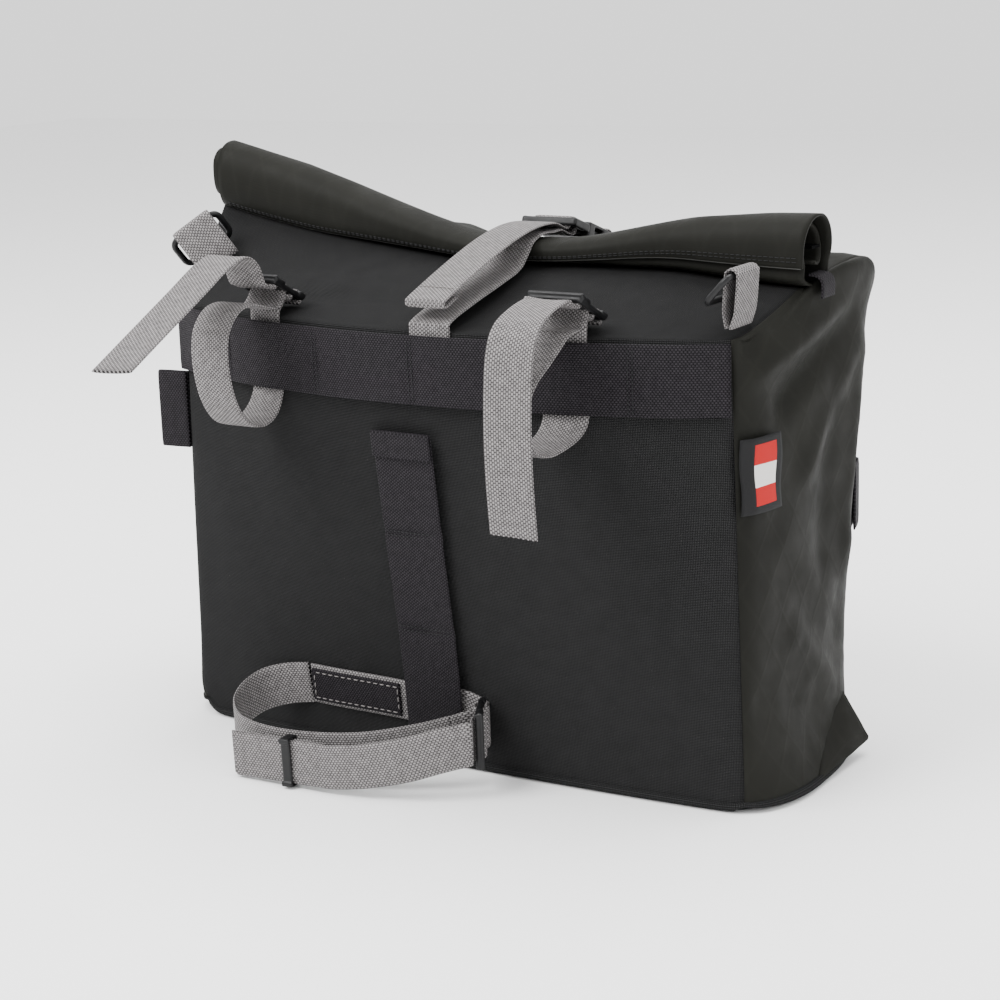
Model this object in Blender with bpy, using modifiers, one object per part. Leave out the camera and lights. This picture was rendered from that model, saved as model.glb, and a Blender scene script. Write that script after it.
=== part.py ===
"""Roll-top pannier bag with handlebar straps, a closure strap and a lower strap.

Frame: +X is the bag's right as seen from its strap side, -Y is the strap side, +Z is up.
The origin is the centre of the base, on the surface that the bag stands on. Metres.
"""

import math

import bmesh
import bpy
from mathutils import Matrix, Vector

# ---- driving dimensions ----------------------------------------------------------------
BACK_HALF_LOW = 0.1865   # half width of the strap side at the base, seam to middle
BACK_HALF_HIGH = 0.1800  # and at the rim
DEPTH = 0.135            # from the strap side's seams to the front seams
RIM_Z = 0.254            # the walls end here and the soft collar begins
FABRIC = 0.0014          # thickness of the coated bag fabric
WEB = 0.0016             # thickness of the webbing
BROAD = 0.038            # black webbing
NARROW = 0.0254          # grey webbing
GAP = 0.0003             # clearance between pieces that lie on each other

FRONT_HALF_LOW = 0.181   # half width of the front at the base
FRONT_HALF_HIGH = 0.198  # and at the rim
BACK_BULGE_LOW = 0.009   # how far the strap side stands out in the middle, at the base
BACK_BULGE_HIGH = 0.034  # and near the rim
FRONT_BULGE = 0.020
SIDE_BULGE = 0.006
SKIRT_BULGE = 0.016      # extra width right above the base
SKIRT_HEIGHT = 0.020
FRONT_RISE = 0.012       # the base lifts off the ground at the front
RISE_START = 0.030

LEVEL_WEB_Z = (0.215, 0.253)       # lower and upper edge of the level webbing
UPRIGHT_WEB_Z = (0.012, 0.198)     # lower and upper end of the upright webbing
STRAP_X = 0.097                    # the handlebar straps' distance from the middle
CLOSURE_X = 0.020

ROLL_HALF_LENGTH = 0.195
PINCH_HALF_WIDTH = 0.013           # the roll is level under the closure strap
ROLL_PINCH_Z = 0.2855              # height of the roll's axis under the closure strap
ROLL_PINCH_HALF = 0.0075
ROLL_RIGHT_HALF = 0.0190             # half its height at the ends
ROLL_LEFT_HALF = 0.0210
ROLL_LEFT_RISE = 0.0342
ROLL_RIGHT_RISE = 0.0085
ROLL_DEPTH_HALF = 0.0175

COLOURS = {
    "cordura": (0.022, 0.022, 0.023),
    "laminate": (0.026, 0.026, 0.023),
    "black_web": (0.018, 0.016, 0.019),
    "grey_web": (0.30, 0.285, 0.285),
    "black_plastic": (0.010, 0.010, 0.011),
    "label_red": (0.55, 0.03, 0.03),
}


# ---- scene, materials and mesh helpers -------------------------------------------------
def clear_scene():
    for thing in list(bpy.data.objects):
        bpy.data.objects.remove(thing, do_unlink=True)


def new_collection(name):
    collection = bpy.data.collections.new(name)
    bpy.context.scene.collection.children.link(collection)
    return collection


def make_material(name, roughness):
    surface = bpy.data.materials.new(name)
    surface.use_nodes = True
    shader = surface.node_tree.nodes["Principled BSDF"]
    shader.inputs["Base Color"].default_value = (*COLOURS[name], 1.0)
    shader.inputs["Roughness"].default_value = roughness
    shader.inputs["Metallic"].default_value = 0.0
    return surface


clear_scene()
PARTS = new_collection("pannier_bag")
CUTTERS = new_collection("cutters")
MATERIALS = {
    "cordura": make_material("cordura", 0.85),
    "laminate": make_material("laminate", 0.55),
    "black_web": make_material("black_web", 0.75),
    "grey_web": make_material("grey_web", 0.70),
    "black_plastic": make_material("black_plastic", 0.35),
    "label_red": make_material("label_red", 0.60),
}


def add_object(name, mesh, material=None, collection=None):
    thing = bpy.data.objects.new(name, mesh)
    (collection or PARTS).objects.link(thing)
    if material:
        mesh.materials.append(MATERIALS[material])
    return thing


def mesh_from(bm, name):
    mesh = bpy.data.meshes.new(name)
    bm.to_mesh(mesh)
    bm.free()
    return mesh


def bridge(bm, rows, closed=False):
    """Quads between neighbouring rows of points. Returns the rows of vertices."""
    grid = [[bm.verts.new(point) for point in row] for row in rows]
    for low, high in zip(grid, grid[1:]):
        count = len(low)
        for i in range(count if closed else count - 1):
            j = (i + 1) % count
            bm.faces.new((low[i], low[j], high[j], high[i]))
    return grid


def sheet(name, rows, material, thickness, closed=False):
    """A lofted sheet given by its middle surface and made solid."""
    bm = bmesh.new()
    bridge(bm, rows, closed)
    thing = add_object(name, mesh_from(bm, name), material)
    solid = thing.modifiers.new("thickness", "SOLIDIFY")
    solid.thickness = thickness
    solid.offset = 0.0
    solid.use_even_offset = True
    return thing


def solid_loft(name, rings, material):
    """A closed body lofted through rings of points, with both ends capped."""
    bm = bmesh.new()
    grid = bridge(bm, rings, closed=True)
    bm.faces.new(reversed(grid[0]))
    bm.faces.new(grid[-1])
    bmesh.ops.recalc_face_normals(bm, faces=bm.faces)
    return add_object(name, mesh_from(bm, name), material)


def ribbon(name, path, across, width, material, thickness=WEB):
    """Flat webbing along a path; across is its width direction, one or one per point."""
    directions = across if isinstance(across, list) else [across] * len(path)
    rows = [
        [point - side * width / 2, point, point + side * width / 2]
        for point, side in zip(path, directions)
    ]
    return sheet(name, rows, material, thickness)


def box_mesh(size, bevel=0.0):
    bm = bmesh.new()
    bmesh.ops.create_cube(bm, size=1.0)
    bmesh.ops.scale(bm, vec=size, verts=bm.verts)
    if bevel > 0.0:
        bmesh.ops.bevel(bm, geom=bm.edges[:], offset=bevel, segments=2, profile=0.5, affect="EDGES")
    return mesh_from(bm, "box")


def pivot_at(thing, spot):
    """Puts a moving piece's origin on its joint, without moving the piece."""
    thing.data.transform(Matrix.Translation(-spot))
    thing.location = spot


def cutter(mesh, matrix):
    tool = add_object("cutter", mesh, None, CUTTERS)
    tool.matrix_world = matrix
    tool.hide_render = True
    tool.display_type = "WIRE"
    return tool


def combine(thing, tool, operation):
    change = thing.modifiers.new(operation.lower(), "BOOLEAN")
    change.operation = operation
    change.object = tool
    change.solver = "EXACT"


def smooth(t):
    t = min(max(t, 0.0), 1.0)
    return t * t * (3.0 - 2.0 * t)


def mix(a, b, t):
    return a + (b - a) * t


def steps(low, high, count):
    return [mix(low, high, i / (count - 1)) for i in range(count)]


def curve_through(points, per_span=3):
    """Points on a smooth Catmull-Rom curve through the given ones."""
    ends = [points[0] * 2 - points[1]] + points + [points[-1] * 2 - points[-2]]
    result = []
    for a, b, c, d in zip(ends, ends[1:], ends[2:], ends[3:]):
        for step in range(per_span):
            t = step / per_span
            result.append(
                0.5 * (2 * b + (c - a) * t + (2 * a - 5 * b + 4 * c - d) * t ** 2
                       + (3 * b - a - 3 * c + d) * t ** 3)
            )
    return result + [points[-1]]


UP = Vector((0.0, 0.0, 1.0))
ALONG = Vector((1.0, 0.0, 0.0))


# ---- the bag's outline -------------------------------------------------------------------
def back_bulge(z):
    return mix(BACK_BULGE_LOW, BACK_BULGE_HIGH, smooth(z / 0.24))


def back_half(z):
    return mix(BACK_HALF_LOW, BACK_HALF_HIGH, z / RIM_Z)


def back_y(x, z):
    """Middle surface of the strap side."""
    return -DEPTH / 2 - back_bulge(z) * (1.0 - (x / back_half(z)) ** 2)


def front_half(z):
    return mix(FRONT_HALF_LOW, FRONT_HALF_HIGH, (z / RIM_Z) ** 2)


def front_y(x, z):
    return DEPTH / 2 + FRONT_BULGE * (1.0 - (x / front_half(z)) ** 2)


def side_x(y, z):
    """Middle surface of the right side; the left side is its mirror image."""
    share = y / DEPTH + 0.5
    bulge = SIDE_BULGE + SKIRT_BULGE * math.exp(-z / SKIRT_HEIGHT)
    return mix(back_half(z), front_half(z), share) + bulge * (1.0 - abs(2.0 * share - 1.0) ** 3)


def base_z(y):
    """Middle surface of the base, flat and then lifting towards the front."""
    return FABRIC / 2 + FRONT_RISE * smooth((y - RISE_START) / (DEPTH / 2 - RISE_START))


def outward(x, z, distance):
    """A point that far outside the strap side's middle surface."""
    normal = Vector((side_slope(x, z), -1.0, 0.0)).normalized()
    return Vector((x, back_y(x, z), z)) + normal * distance


def side_slope(x, z):
    return 2.0 * back_bulge(z) * x / back_half(z) ** 2


LAYER = FABRIC / 2 + GAP + WEB / 2              # webbing lying on the bag
SECOND_LAYER = LAYER + WEB + GAP + 0.0013       # webbing over other, flat, webbing
SEAM_INSET = 0.0018                             # keeps the panels' edges apart at the seams
WALL_FOOT = FABRIC + 0.0008                     # the walls' lower edge, above the base's middle
STRAP_TURN = math.atan(side_slope(STRAP_X, LEVEL_WEB_Z[1]))   # how far the bag's face turns there


# ---- shell ---------------------------------------------------------------------------------
def make_back_panel():
    rows = []
    for z in steps(base_z(0.0) + WALL_FOOT, RIM_Z, 8):
        half = back_half(z) - SEAM_INSET
        rows.append([(x, back_y(x, z), z) for x in steps(-half, half, 14)])
    sheet("back_panel", rows, "cordura", FABRIC)


def make_front_panel():
    rows = []
    for t in steps(0.0, 1.0, 7):
        z = mix(base_z(DEPTH / 2) + WALL_FOOT, RIM_Z, t)
        half = front_half(z) - SEAM_INSET
        rows.append([(x, front_y(x, z), z) for x in steps(half, -half, 12)])
    sheet("front_panel", rows, "laminate", FABRIC)


def make_side_panel(name, sign):
    rows = []
    for t in [0.0, 0.03, 0.07, 0.13, 0.22, 0.40, 0.60, 0.80, 1.0]:
        row = []
        for y in steps(-DEPTH / 2, DEPTH / 2, 9):
            z = mix(base_z(y) + WALL_FOOT, RIM_Z, t)
            row.append((sign * side_x(y, z), y, z))
        rows.append(row)
    sheet(name, rows, "laminate", FABRIC)


def make_base_panel():
    """The base reaches to the outside of the walls, which stand on it with a small gap."""
    rows = []
    for y in [-DEPTH / 2, -0.055, -0.030, 0.0, RISE_START, 0.040, 0.050, 0.060, DEPTH / 2]:
        half = side_x(y, base_z(y))
        rows.append([(x, y, base_z(y)) for x in steps(-half, half, 10)])
    half = BACK_HALF_LOW * 0.985
    back_edge = [(x, back_y(x, 0.0), base_z(-DEPTH / 2)) for x in steps(-half, half, 10)]
    low = base_z(DEPTH / 2)
    half = front_half(low) * 0.985
    front_edge = [(x, front_y(x, low), low) for x in steps(-half, half, 10)]
    sheet("base_panel", [back_edge] + rows + [front_edge], "cordura", FABRIC)


def make_corner_fold(name, sign):
    """The pointed fold of fabric at a lower front corner."""
    rings = []
    for t in steps(0.0, 1.0, 6):
        y = mix(0.004, 0.056, t)
        top = mix(0.010, 0.036, t)
        low = base_z(y) + WALL_FOOT
        reach = mix(0.0016, 0.0150, smooth(t / 0.85) * (1.0 if t < 0.9 else 0.75))
        clear = FABRIC / 2 + GAP + 0.0005
        middle = mix(low, top, 0.30)
        wall_top = side_x(y, top) + clear
        wall_low = side_x(y, low) + clear
        wall_mid = side_x(y, middle) + clear
        rings.append([
            (sign * wall_top, y, top),
            (sign * (wall_top + 0.0008), y, top),
            (sign * (wall_mid + reach), y, middle),
            (sign * (wall_low + 0.0008), y, low),
            (sign * wall_low, y, low),
            (sign * wall_mid, y, middle),
        ])
    solid_loft(name, rings, "laminate")


# ---- roll and collar -----------------------------------------------------------------------
def from_pinch(x):
    """Distance along the roll from the level stretch under the closure strap."""
    return max(abs(x - CLOSURE_X) - PINCH_HALF_WIDTH, 0.0)


def roll_axis(x):
    """Height of the roll's axis: pinched in the middle, high at the left end."""
    away = from_pinch(x)
    if x < CLOSURE_X:
        bend = math.sqrt(away ** 2 + 0.030 ** 2) - 0.030
        return ROLL_PINCH_Z + ROLL_LEFT_RISE * bend / 0.150
    return ROLL_PINCH_Z + ROLL_RIGHT_RISE * smooth(away / 0.100)


def roll_half(x):
    """Half the roll's height."""
    end = ROLL_LEFT_HALF if x < CLOSURE_X else ROLL_RIGHT_HALF
    return mix(ROLL_PINCH_HALF, end, smooth(from_pinch(x) / 0.165))


ROLL_START = 215.0      # the hem, low on the strap side
ROLL_SWEEP = 700.0      # two turns, over the top first
ROLL_SHRINK = 0.55


def roll_section(x, count=25):
    """The wound fabric's middle line at one place along the roll, from hem to core."""
    section = []
    for share in steps(0.0, 1.0, count):
        angle = math.radians(ROLL_START - ROLL_SWEEP * share)
        size = 1.0 - ROLL_SHRINK * share
        y = size * (ROLL_DEPTH_HALF - FABRIC / 2) * math.cos(angle)
        z = roll_axis(x) + size * (roll_half(x) - FABRIC / 2) * math.sin(angle)
        section.append((x, y, z))
    return section


def roll_stations():
    """Places along the roll, closer together where it bends, with both ends of the level stretch."""
    left = CLOSURE_X - PINCH_HALF_WIDTH
    right = CLOSURE_X + PINCH_HALF_WIDTH
    return steps(-ROLL_HALF_LENGTH, left, 8) + steps(right, ROLL_HALF_LENGTH, 6)


def make_roll():
    sheet("roll_top", [roll_section(x) for x in roll_stations()], "laminate", FABRIC)
    strip = [[(x, y, roll_axis(x)) for y in (-0.005, 0.005)] for x in roll_stations()]
    sheet("roll_stiffener", strip, "black_plastic", 0.0016)


def rim_outline():
    """The walls' upper edge, anticlockwise seen from above."""
    back = [(x, back_y(x, RIM_Z)) for x in steps(-BACK_HALF_HIGH, BACK_HALF_HIGH, 13)[:-1]]
    right = [(side_x(y, RIM_Z), y) for y in steps(-DEPTH / 2, DEPTH / 2, 7)[:-1]]
    edge = front_half(RIM_Z)
    front = [(x, front_y(x, RIM_Z)) for x in steps(edge, -edge, 13)[:-1]]
    left = [(-side_x(y, RIM_Z), y) for y in steps(DEPTH / 2, -DEPTH / 2, 7)[:-1]]
    return back + right + front + left


def mouth_outline():
    """The collar's narrow upper edge, under the roll, point by point like the rim."""
    length = ROLL_HALF_LENGTH - 0.006
    back = [(x, -0.008) for x in steps(-length, length, 13)[:-1]]
    right = [(length + 0.003 * math.sin(math.pi * t), mix(-0.008, 0.008, t)) for t in steps(0, 1, 7)[:-1]]
    front = [(x, 0.008) for x in steps(length, -length, 13)[:-1]]
    left = [(-x, -y) for x, y in right]
    return back + right + front + left


def collar_point(rim, mouth, t):
    """The collar hollows on the strap side and puffs out in front and at both ends."""
    x = mix(rim[0], mouth[0], t)
    y = mix(rim[1], mouth[1], t)
    low = RIM_Z + 0.0012
    high = roll_axis(mouth[0]) - roll_half(mouth[0]) - 0.0014
    front = smooth((rim[1] + 0.05) / 0.10)
    z = mix(low, high, t ** mix(1.5, 0.8, front)) + 0.008 * front * math.sin(math.pi * t)
    at_end = smooth((abs(rim[0]) - 0.170) / 0.020) * smooth((rim[1] + 0.06) / 0.05)
    lobe = at_end * math.exp(-((t - 0.6) / 0.15) ** 2)
    x += math.copysign(0.010 * lobe, rim[0])
    return (x, y, z + 0.010 * lobe)


def make_collar():
    rows = []
    for t in [0.0, 0.2, 0.4, 0.6, 0.75, 0.92, 1.0]:
        rows.append([collar_point(rim, mouth, t) for rim, mouth in zip(rim_outline(), mouth_outline())])
    sheet("collar", rows, "laminate", FABRIC, closed=True)


def make_stiffeners():
    """Plastic sheets inside the bag: one behind the strap side, one on the base."""
    inside = -(FABRIC / 2 + GAP + 0.0008)
    rows = [[outward(x, z, inside) for x in steps(-0.150, 0.150, 12)] for z in steps(0.010, 0.235, 6)]
    sheet("back_stiffener", rows, "black_plastic", 0.0012)
    height = FABRIC + GAP + 0.0008
    rows = [[(x, y, height) for x in (-0.155, 0.155)] for y in (-0.060, 0.026)]
    sheet("base_stiffener", rows, "black_plastic", 0.0016)


# ---- webbing on the strap side -------------------------------------------------------------
def make_level_webbing():
    low, high = LEVEL_WEB_Z
    rows = []
    for z in steps(low, high, 3):
        half = back_half(z) - SEAM_INSET
        row = []
        for x in steps(-half, half, 16):
            clear = smooth((half - abs(x)) / 0.030)
            row.append(outward(x, z, mix(LAYER, SECOND_LAYER, clear)))
        rows.append(row)
    sheet("level_webbing", rows, "black_web", WEB)


def make_upright_webbing():
    low, high = UPRIGHT_WEB_Z
    rows = []
    for z in [low, low + 0.008] + steps(low + 0.025, high, 8):
        clear = smooth((z - low) / 0.008)
        offset = mix(LAYER, SECOND_LAYER, clear)
        rows.append([outward(x, z, offset) for x in steps(-BROAD / 2, BROAD / 2, 4)])
    sheet("upright_webbing", rows, "black_web", WEB)


# ---- ladder-lock buckle ---------------------------------------------------------------------
LOCK_WIDTH = 0.032
LOCK_THICK = 0.0030
LOCK_TAIL = -0.0020          # plate end behind the anchor bar
LOCK_LIP = 0.0275            # plate end at the lip
LOCK_SLOTS = [(0.0018, 0.0062), (0.0095, 0.0143), (0.0172, 0.0230)]


class BuckleFrame:
    """A buckle's axes: v from its anchor bar to its other end, n its upper face, u its bars."""

    def __init__(self, anchor, v, n):
        self.anchor = Vector(anchor)
        self.v = Vector(v).normalized()
        self.n = Vector(n).normalized()
        self.u = self.v.cross(self.n)

    def at(self, v, n, u=0.0):
        return self.anchor + self.u * u + self.v * v + self.n * n

    def matrix(self, v=0.0, n=0.0, u=0.0):
        turn = Matrix((self.u, self.v, self.n)).transposed()
        return Matrix.Translation(self.at(v, n, u)) @ turn.to_4x4()


def make_ladder_lock(name, frame):
    length = LOCK_LIP - LOCK_TAIL
    plate = box_mesh((LOCK_WIDTH, length, LOCK_THICK), 0.0008)
    lock = add_object(name, plate, "black_plastic")
    plate.transform(Matrix.Translation((0.0, (LOCK_LIP + LOCK_TAIL) / 2, 0.0)))
    lock.matrix_world = frame.matrix()
    for low, high in LOCK_SLOTS:
        hole = box_mesh((NARROW + 0.0012, high - low, 0.02))
        combine(lock, cutter(hole, frame.matrix((low + high) / 2)), "DIFFERENCE")
    lip = box_mesh((LOCK_WIDTH - 0.001, 0.0046, 0.0042), 0.0010)
    combine(lock, cutter(lip, frame.matrix(LOCK_LIP - 0.0018, 0.0014)), "UNION")


def strap_through_lock(frame):
    """Up through the middle slot, over the grip bar, down the outer slot and out under the lip."""
    spots = [(0.0125, -0.0070), (0.0117, -0.0030), (0.0117, -0.0002), (0.0125, 0.0020),
             (0.0142, 0.0029), (0.0160, 0.0030), (0.0180, 0.0024), (0.0195, 0.0008),
             (0.0203, -0.0012), (0.0218, -0.0027), (0.0245, -0.0032), (0.0266, -0.0034)]
    return [frame.at(v, n) for v, n in spots]


# ---- handlebar straps -----------------------------------------------------------------------
LOCK_ANCHOR = (-0.013, 0.2640)     # distance outwards from the bag's face, and height
LOCK_TILT = math.radians(28.0)
LOOP_POINTS = {
    "right": [(0.0018, 0.233), (0.0018, 0.220), (0.0034, 0.2110), (0.0110, 0.2050), (0.0235, 0.2020),
              (0.0400, 0.2012), (0.0530, 0.2060), (0.0600, 0.2160), (0.0595, 0.2280),
              (0.0520, 0.2395), (0.0380, 0.2475), (0.0270, 0.2540), (0.0170, 0.2600)],
    "left": [(0.0018, 0.233), (0.0018, 0.220), (0.0035, 0.2105), (0.0110, 0.2015), (0.0235, 0.1975),
             (0.0370, 0.2020), (0.0470, 0.2160), (0.0515, 0.2350), (0.0500, 0.2520),
             (0.0410, 0.2625), (0.0290, 0.2655), (0.0170, 0.2630)],
}
TAIL_POINTS = {
    "right": [(0.0215, 0.2768), (0.0370, 0.2745), (0.0530, 0.2688), (0.0612, 0.2580), (0.0648, 0.2400),
              (0.0664, 0.2150), (0.0656, 0.1900), (0.0630, 0.1640)],
    "left": [(0.0210, 0.2860), (0.0300, 0.2915), (0.0440, 0.2885), (0.0670, 0.2770),
             (0.0990, 0.2610), (0.1300, 0.2455)],
}

TAIL_DRIFT = {"right": 0.065, "left": 0.0}      # sideways, as a share of the distance outwards
TAIL_TWIST = {"right": 0.20, "left": 0.0}       # the hanging end turns its face a little


class StrapPlane:
    """The upright plane, straight out from the bag, in which one handlebar strap lies."""

    def __init__(self, sign):
        self.out = Vector((0.0, -1.0, 0.0))
        self.across = ALONG
        self.lying = Vector((math.cos(STRAP_TURN), sign * math.sin(STRAP_TURN), 0.0))
        self.face = Vector((sign * STRAP_X, back_y(STRAP_X, RIM_Z), 0.0))

    def at(self, out, up):
        return self.face + self.out * out + UP * up

    def sides(self, count, first, last):
        """The width direction at each point: along the bag up to first, free from last on."""
        return [self.lying.lerp(self.across, smooth((i - first) / (last - first))) for i in range(count)]

    def lock(self):
        v = self.out * math.cos(LOCK_TILT) + UP * math.sin(LOCK_TILT)
        n = UP * math.cos(LOCK_TILT) - self.out * math.sin(LOCK_TILT)
        return BuckleFrame(self.at(*LOCK_ANCHOR), v, n)


def make_buckle_anchor(name, plane, frame):
    """A short loop from behind the level webbing round the buckle's anchor bar."""
    path = [plane.at(LAYER, 0.2370), plane.at(LAYER, 0.2555), plane.at(0.0002, 0.2605)]
    path += [frame.at(0.0100, -0.0045), frame.at(0.0058, -0.0038), frame.at(0.0042, -0.0012),
             frame.at(0.0038, 0.0014), frame.at(0.0022, 0.0030), frame.at(-0.0004, 0.0034),
             frame.at(-0.0032, 0.0026), frame.at(-0.0044, 0.0002), frame.at(-0.0036, -0.0028)]
    ribbon(name, path, plane.sides(len(path), 1, 3), NARROW - 0.001, "grey_web")


def make_handlebar_strap(side, sign):
    plane = StrapPlane(sign)
    frame = plane.lock()
    make_ladder_lock(f"{side}_buckle", frame)
    make_buckle_anchor(f"{side}_buckle_anchor", plane, frame)
    loop = curve_through([plane.at(*spot) for spot in LOOP_POINTS[side]], 2)
    ribbon(f"{side}_strap_loop", loop, plane.sides(len(loop), 4, 8), NARROW, "grey_web")
    lead = [loop[-1] - plane.out * 0.0005, plane.at(0.0070, 0.2605)]
    path = lead + strap_through_lock(frame)
    thread = ribbon(f"{side}_strap_thread", path, plane.across, NARROW, "grey_web")
    pivot_at(thread, frame.anchor)
    start = [frame.at(0.0276, -0.0034), frame.at(0.0310, -0.0036)]
    hanging = [plane.at(out, up) + ALONG * (TAIL_DRIFT[side] * out) for out, up in TAIL_POINTS[side]]
    path = start + curve_through([start[-1]] + hanging, 2)[1:]
    twisted = (ALONG + plane.out * -TAIL_TWIST[side]).normalized()
    sides = [ALONG.lerp(twisted, smooth((i - 3) / 6.0)) for i in range(len(path))]
    tail = ribbon(f"{side}_strap_tail", path, sides, NARROW, "grey_web")
    pivot_at(tail, start[0])


# ---- closure strap and its side-release buckle ----------------------------------------------
CLIP_START = (0.0215, 0.2990)      # (y, z) of the insert's strap end
CLIP_SLOPE = math.radians(-20.0)
CLIP_WIDTH = 0.036
INSERT_BODY = 0.018                # length of the insert outside the socket
PRONG_LENGTH = 0.020
SOCKET_LENGTH = 0.032
SOCKET_START = INSERT_BODY + GAP
SOCKET_BAR = SOCKET_START + SOCKET_LENGTH - 0.0052      # middle of the slot before the end bar


def clip_frame():
    v = Vector((0.0, math.cos(CLIP_SLOPE), math.sin(CLIP_SLOPE)))
    n = Vector((0.0, -math.sin(CLIP_SLOPE), math.cos(CLIP_SLOPE)))
    return BuckleFrame((CLOSURE_X, *CLIP_START), v, n)


def make_closure_insert(frame):
    body = box_mesh((CLIP_WIDTH, INSERT_BODY, 0.0050), 0.0010)
    body.transform(Matrix.Translation((0.0, INSERT_BODY / 2, 0.0)))
    insert = add_object("closure_insert", body, "black_plastic")
    insert.matrix_world = frame.matrix()
    for low, high in [(0.0024, 0.0066), (0.0092, 0.0134)]:
        hole = box_mesh((NARROW + 0.0012, high - low, 0.02))
        combine(insert, cutter(hole, frame.matrix((low + high) / 2)), "DIFFERENCE")
    middle = INSERT_BODY + PRONG_LENGTH / 2 - 0.001
    for offset, width in [(-0.0125, 0.0032), (0.0, 0.0044), (0.0125, 0.0032)]:
        prong = box_mesh((width, PRONG_LENGTH + 0.002, 0.0036), 0.0005)
        combine(insert, cutter(prong, frame.matrix(middle, 0.0, offset)), "UNION")


def make_closure_socket(frame):
    body = box_mesh((0.034, SOCKET_LENGTH, 0.0088), 0.0016)
    body.transform(Matrix.Translation((0.0, SOCKET_START + SOCKET_LENGTH / 2, 0.0)))
    socket = add_object("closure_socket", body, "black_plastic")
    socket.matrix_world = frame.matrix()
    hollow = box_mesh((0.0296, PRONG_LENGTH + 0.004, 0.0046))
    combine(socket, cutter(hollow, frame.matrix(SOCKET_START + PRONG_LENGTH / 2 - 0.001)), "DIFFERENCE")
    window = box_mesh((0.040, 0.0090, 0.0046))
    combine(socket, cutter(window, frame.matrix(SOCKET_START + 0.0125)), "DIFFERENCE")
    slot = box_mesh((NARROW + 0.0012, 0.0044, 0.02))
    combine(socket, cutter(slot, frame.matrix(SOCKET_BAR)), "DIFFERENCE")


def in_closure_plane(y, z):
    return Vector((CLOSURE_X, y, z))


def over_roll(clearance, first, last, count):
    """Points on the roll's back, top and front, that far off its surface."""
    points = []
    for angle in steps(math.radians(first), math.radians(last), count):
        y = (ROLL_DEPTH_HALF + clearance) * math.cos(angle)
        z = roll_axis(CLOSURE_X) + (roll_half(CLOSURE_X) + clearance) * math.sin(angle)
        points.append(in_closure_plane(y, z))
    return points


def make_closure_strap(frame):
    """Sewn in behind the level webbing, then up the collar; over the roll and into the insert."""
    on_roll = GAP + WEB / 2 + 0.0008
    over = over_roll(on_roll, 165.0, 70.0, 6)
    ribbon("closure_strap_over", over + [frame.at(-0.0040, -0.0060)], ALONG, NARROW, "grey_web")
    thread = [frame.at(-0.0036, -0.0060), frame.at(0.0030, -0.0060), frame.at(0.0085, -0.0058),
              frame.at(0.0112, -0.0044), frame.at(0.0120, -0.0020), frame.at(0.0120, 0.0008),
              frame.at(0.0110, 0.0030), frame.at(0.0092, 0.0038), frame.at(0.0081, 0.0038)]
    ribbon("closure_strap_thread", thread, ALONG, NARROW, "grey_web")
    face = back_y(CLOSURE_X, RIM_Z) - LAYER - 0.0003
    sewn = [in_closure_plane(face + 0.0002, 0.232), in_closure_plane(face, 0.2545)]
    free = [in_closure_plane(face + 0.0025, 0.2600), in_closure_plane(-0.078, 0.2665),
            in_closure_plane(-0.050, 0.2730), in_closure_plane(-0.030, 0.2785)]
    seam = over[0] - (over[1] - over[0]).normalized() * 0.0006
    path = curve_through(sewn + free + [seam], 2)
    lying = Vector((1.0, side_slope(CLOSURE_X, RIM_Z), 0.0)).normalized()
    turning = [lying] * 3 + [lying.lerp(ALONG, 0.5)]
    across = turning + [ALONG] * (len(path) - len(turning))
    ribbon("closure_strap_back", path, across, NARROW, "grey_web")


def make_closure_tail(frame):
    """Down through the insert's first slot and back over the roll, ending in a folded hem."""
    start = [frame.at(0.0077, 0.0038), frame.at(0.0062, 0.0034), frame.at(0.0049, 0.0018),
             frame.at(0.0045, -0.0008), frame.at(0.0038, -0.0030), frame.at(0.0016, -0.0040),
             frame.at(-0.0020, -0.0040)]
    back = [in_closure_plane(0.008, 0.2992), in_closure_plane(-0.012, 0.2990),
            in_closure_plane(-0.036, 0.2945), in_closure_plane(-0.062, 0.2870),
            in_closure_plane(-0.086, 0.2790), in_closure_plane(-0.1040, 0.2725)]
    hem = [in_closure_plane(-0.1062, 0.2708), in_closure_plane(-0.1056, 0.2688),
           in_closure_plane(-0.1030, 0.2688), in_closure_plane(-0.0940, 0.2722)]
    ribbon("closure_tail", start[:-1] + curve_through([start[-1]] + back, 2) + hem, ALONG, NARROW, "grey_web")


def make_front_anchor(frame):
    """Webbing sewn to the front panel that holds the socket."""
    path = [Vector((CLOSURE_X, front_y(CLOSURE_X, z) + LAYER, z)) for z in (0.150, 0.200, 0.248)]
    path.append(path[-1] + Vector((0.0, 0.0005, 0.010)))
    path += [frame.at(0.0600, -0.0035), frame.at(0.0530, -0.0058), frame.at(0.0480, -0.0060),
             frame.at(0.0454, -0.0046), frame.at(SOCKET_BAR, -0.0010), frame.at(0.0453, 0.0040),
             frame.at(0.0475, 0.0060), frame.at(0.0515, 0.0060), frame.at(0.0560, 0.0030),
             frame.at(0.0600, -0.0008)]
    ribbon("front_anchor_strap", path, ALONG, NARROW, "grey_web")


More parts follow.
